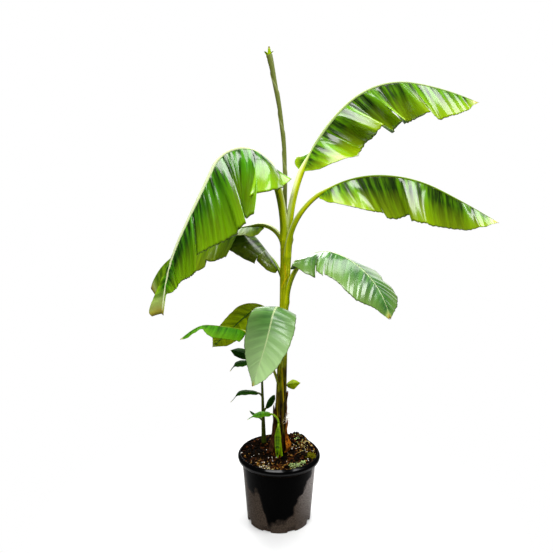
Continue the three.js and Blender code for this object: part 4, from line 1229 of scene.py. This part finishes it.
def soil_height(x, y):
    """Soil surface: falling in a smooth S to the wall and rising in one to the back, with bell-shaped
    heaps behind on the right and at the left shoot, and bumps that add up slanted waves 14 to 70 mm
    long."""
    rng = np.random.default_rng(5)
    waves = 2 * np.pi / rng.uniform(*BUMP_LENGTHS, 30)
    turn, start = rng.uniform(0, 2 * np.pi, (2, 30))
    phase = (x[..., None] * np.cos(turn) + y[..., None] * np.sin(turn)) * waves + start
    bumps = np.sin(phase) @ (BUMP_STEEPNESS / waves)
    heaps = sum(
        rise * np.exp(-((x - across) ** 2 + (y - away) ** 2) / width ** 2)
        for rise, (across, away), width in SOIL_HEAPS
    )
    rise, front, back = SOIL_BACK
    level = SOIL_TOP - 2 + bumps + heaps + rise * ease(y, front, back)
    return level - SOIL_DROP * ease(np.hypot(x, y), SOIL_FLAT, SOIL_WALL)


def boxes(centres, sizes, rng):
    """Rough chips: eight corners each, a box's signs times half sizes with uneven corners, turned
    about the upright and then tilted."""
    signs = np.array([(x, y, z) for z in (-1, 1) for y in (-1, 1) for x in (-1, 1)])
    corners = signs * sizes[:, None] / 2 * rng.uniform(0.6, 1.15, (len(sizes), 8, 1))
    yaw, tilt = rng.uniform(0, 2 * np.pi, len(sizes)), rng.uniform(-0.5, 0.5, len(sizes))
    x = corners[..., 0] * np.cos(tilt)[:, None] - corners[..., 2] * np.sin(tilt)[:, None]
    z = corners[..., 0] * np.sin(tilt)[:, None] + corners[..., 2] * np.cos(tilt)[:, None]
    y = corners[..., 1]
    turned = np.stack([
        x * np.cos(yaw)[:, None] - y * np.sin(yaw)[:, None],
        x * np.sin(yaw)[:, None] + y * np.cos(yaw)[:, None], z,
    ], -1)
    sides = np.array([
        (0, 2, 3, 1), (4, 5, 7, 6), (0, 1, 5, 4), (2, 6, 7, 3), (0, 4, 6, 2), (1, 3, 7, 5),
    ])
    faces = (sides + 8 * np.arange(len(sizes))[:, None, None]).reshape(-1, 4).tolist()
    return (turned + centres[:, None]).reshape(-1, 3), faces


def scattered(count, rng, near=None, spread=0, reach=128):
    """Places on the soil: even over its disc, or gathered in a bell round one place, where one that
    falls beyond reach is drawn back to it."""
    if near is None:
        r = reach * np.sqrt(rng.uniform(0, 1, count))
        turn = rng.uniform(0, 2 * np.pi, count)
        x, y = r * np.cos(turn), r * np.sin(turn)
    else:
        x, y = np.array(near)[:, None] + spread * rng.normal(0, 1, (2, count))
        inward = np.minimum(1, (reach - 4) / np.hypot(x, y))
        x, y = x * inward, y * inward
    return np.stack([x, y, soil_height(x, y)], -1)


def soil_and_crumbs():
    """The soil's top on rings from the middle to the wall, with skirt, and what lies on it: bark
    chips in four browns, perlite, a moss cushion and a tuft of seedlings."""
    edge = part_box("soil")[1][0] / MM
    r = np.concatenate([[0], np.linspace(1, edge, 70)])[:, None]
    turn = np.linspace(0, 2 * np.pi, 160, endpoint=False)
    x, y = r * np.cos(turn), r * np.sin(turn)
    top = np.stack([x, y, soil_height(x, y)], -1)
    skirt = np.stack([x[-1] * 0.96, y[-1] * 0.96, np.full_like(turn, SOIL_TOP - SOIL_SKIRT)], -1)
    points, faces = tube(np.concatenate([skirt[None], top[::-1]]))
    put("potting_mix", points, faces, (MIX,), ("soil",))

    rng = np.random.default_rng(21)
    chips = []
    kinds = []
    for kind, count, low, high, near, spread in CRUMBS:
        size = rng.uniform(low, high, (count, 1)) * np.array(CRUMB_SHAPES[kind])
        chips.append(boxes(scattered(count, rng, near, spread) + np.array([0, 0, CRUMB_LIFT]), size, rng))
        kinds += [kind] * (count * 6)
    points, faces = joined(chips)
    put("bark_and_perlite", points, faces, CRUMB_LOOKS, kinds=kinds)

    count, near, spread = MOSS_PATCH
    moss = boxes(scattered(count, rng, near, spread), rng.uniform(2, 8, (count, 1)) * [1, 1, 0.9], rng)
    clumps = [
        scattered(count, rng, near, spread) + rng.uniform(1, 8, (count, 1)) * [0, 0, 1]
        for count, near, spread in SEEDLING_CLUMPS
    ]
    tuft = np.concatenate(clumps)
    sprigs = boxes(tuft, rng.uniform(3, 7, (len(tuft), 1)) * [1, 0.5, 0.12], rng)
    points, faces = joined([moss, sprigs])
    kinds = [0] * len(moss[1]) + [1] * len(sprigs[1])
    put("moss_and_seedlings", points, faces, GREEN_LOOKS, kinds=kinds)


def studio():
    """The floor, a wide disc on rings; soft lights; an even white behind everything; the camera."""
    r = np.linspace(0, 1, 24)[:, None] ** 2 * FLOOR_REACH
    turn = np.linspace(0, 2 * np.pi, 96, endpoint=False)
    points = ringed(r, turn, -FLOOR_DROP)
    ids = numbered(points)
    mesh = bpy.data.meshes.new("floor")
    mesh.from_pydata(points.reshape(-1, 3).tolist(), [], [face[::-1] for face in quads(ids, closed=True)])
    mesh.materials.append(studio_floor())
    floor = placed("floor", mesh)

    for name, place, target, size, power in SOFTBOXES:
        light = bpy.data.lights.new(name, "AREA")
        light.shape = "RECTANGLE"
        light.size, light.size_y = size
        light.energy = power
        lamp = placed(name, light)
        away = np.array(place) - np.array(target)
        lamp.location = place
        lamp.rotation_euler = (np.arccos(away[2] / np.linalg.norm(away)), 0, np.arctan2(away[0], -away[1]))

    sky = bpy.data.worlds.new("studio")
    sky.use_nodes = True
    nodes = sky.node_tree.nodes
    nodes.clear()
    seen = add(nodes, "LightPath").outputs["Is Camera Ray"]
    lit = add(nodes, "Background", {"Color": linear("#e8ecf0"), "Strength": 0.08})
    white = add(nodes, "Background", {"Color": linear("#ffffff"), "Strength": 1.0})
    add(nodes, "OutputWorld", {"Surface": add(nodes, "MixShader", (seen, lit, white))})
    bpy.context.scene.world = sky
    bpy.context.scene.view_settings.view_transform = "Standard"

    lens = bpy.data.cameras.new("camera")
    lens.sensor_width = CAMERA["sensor"]
    lens.lens = CAMERA["lens"]
    camera = placed("camera", lens)
    camera.location = CAMERA["place"]
    camera.rotation_euler = (np.radians(CAMERA["tilt"]), 0, 0)
    bpy.context.scene.camera = camera


nursery_pot()
soil_and_crumbs()
trunk()
dry_sheaths()
frayed_fibres()
rolled_leaf()
grown_leaves()
side_shoots()
studio()
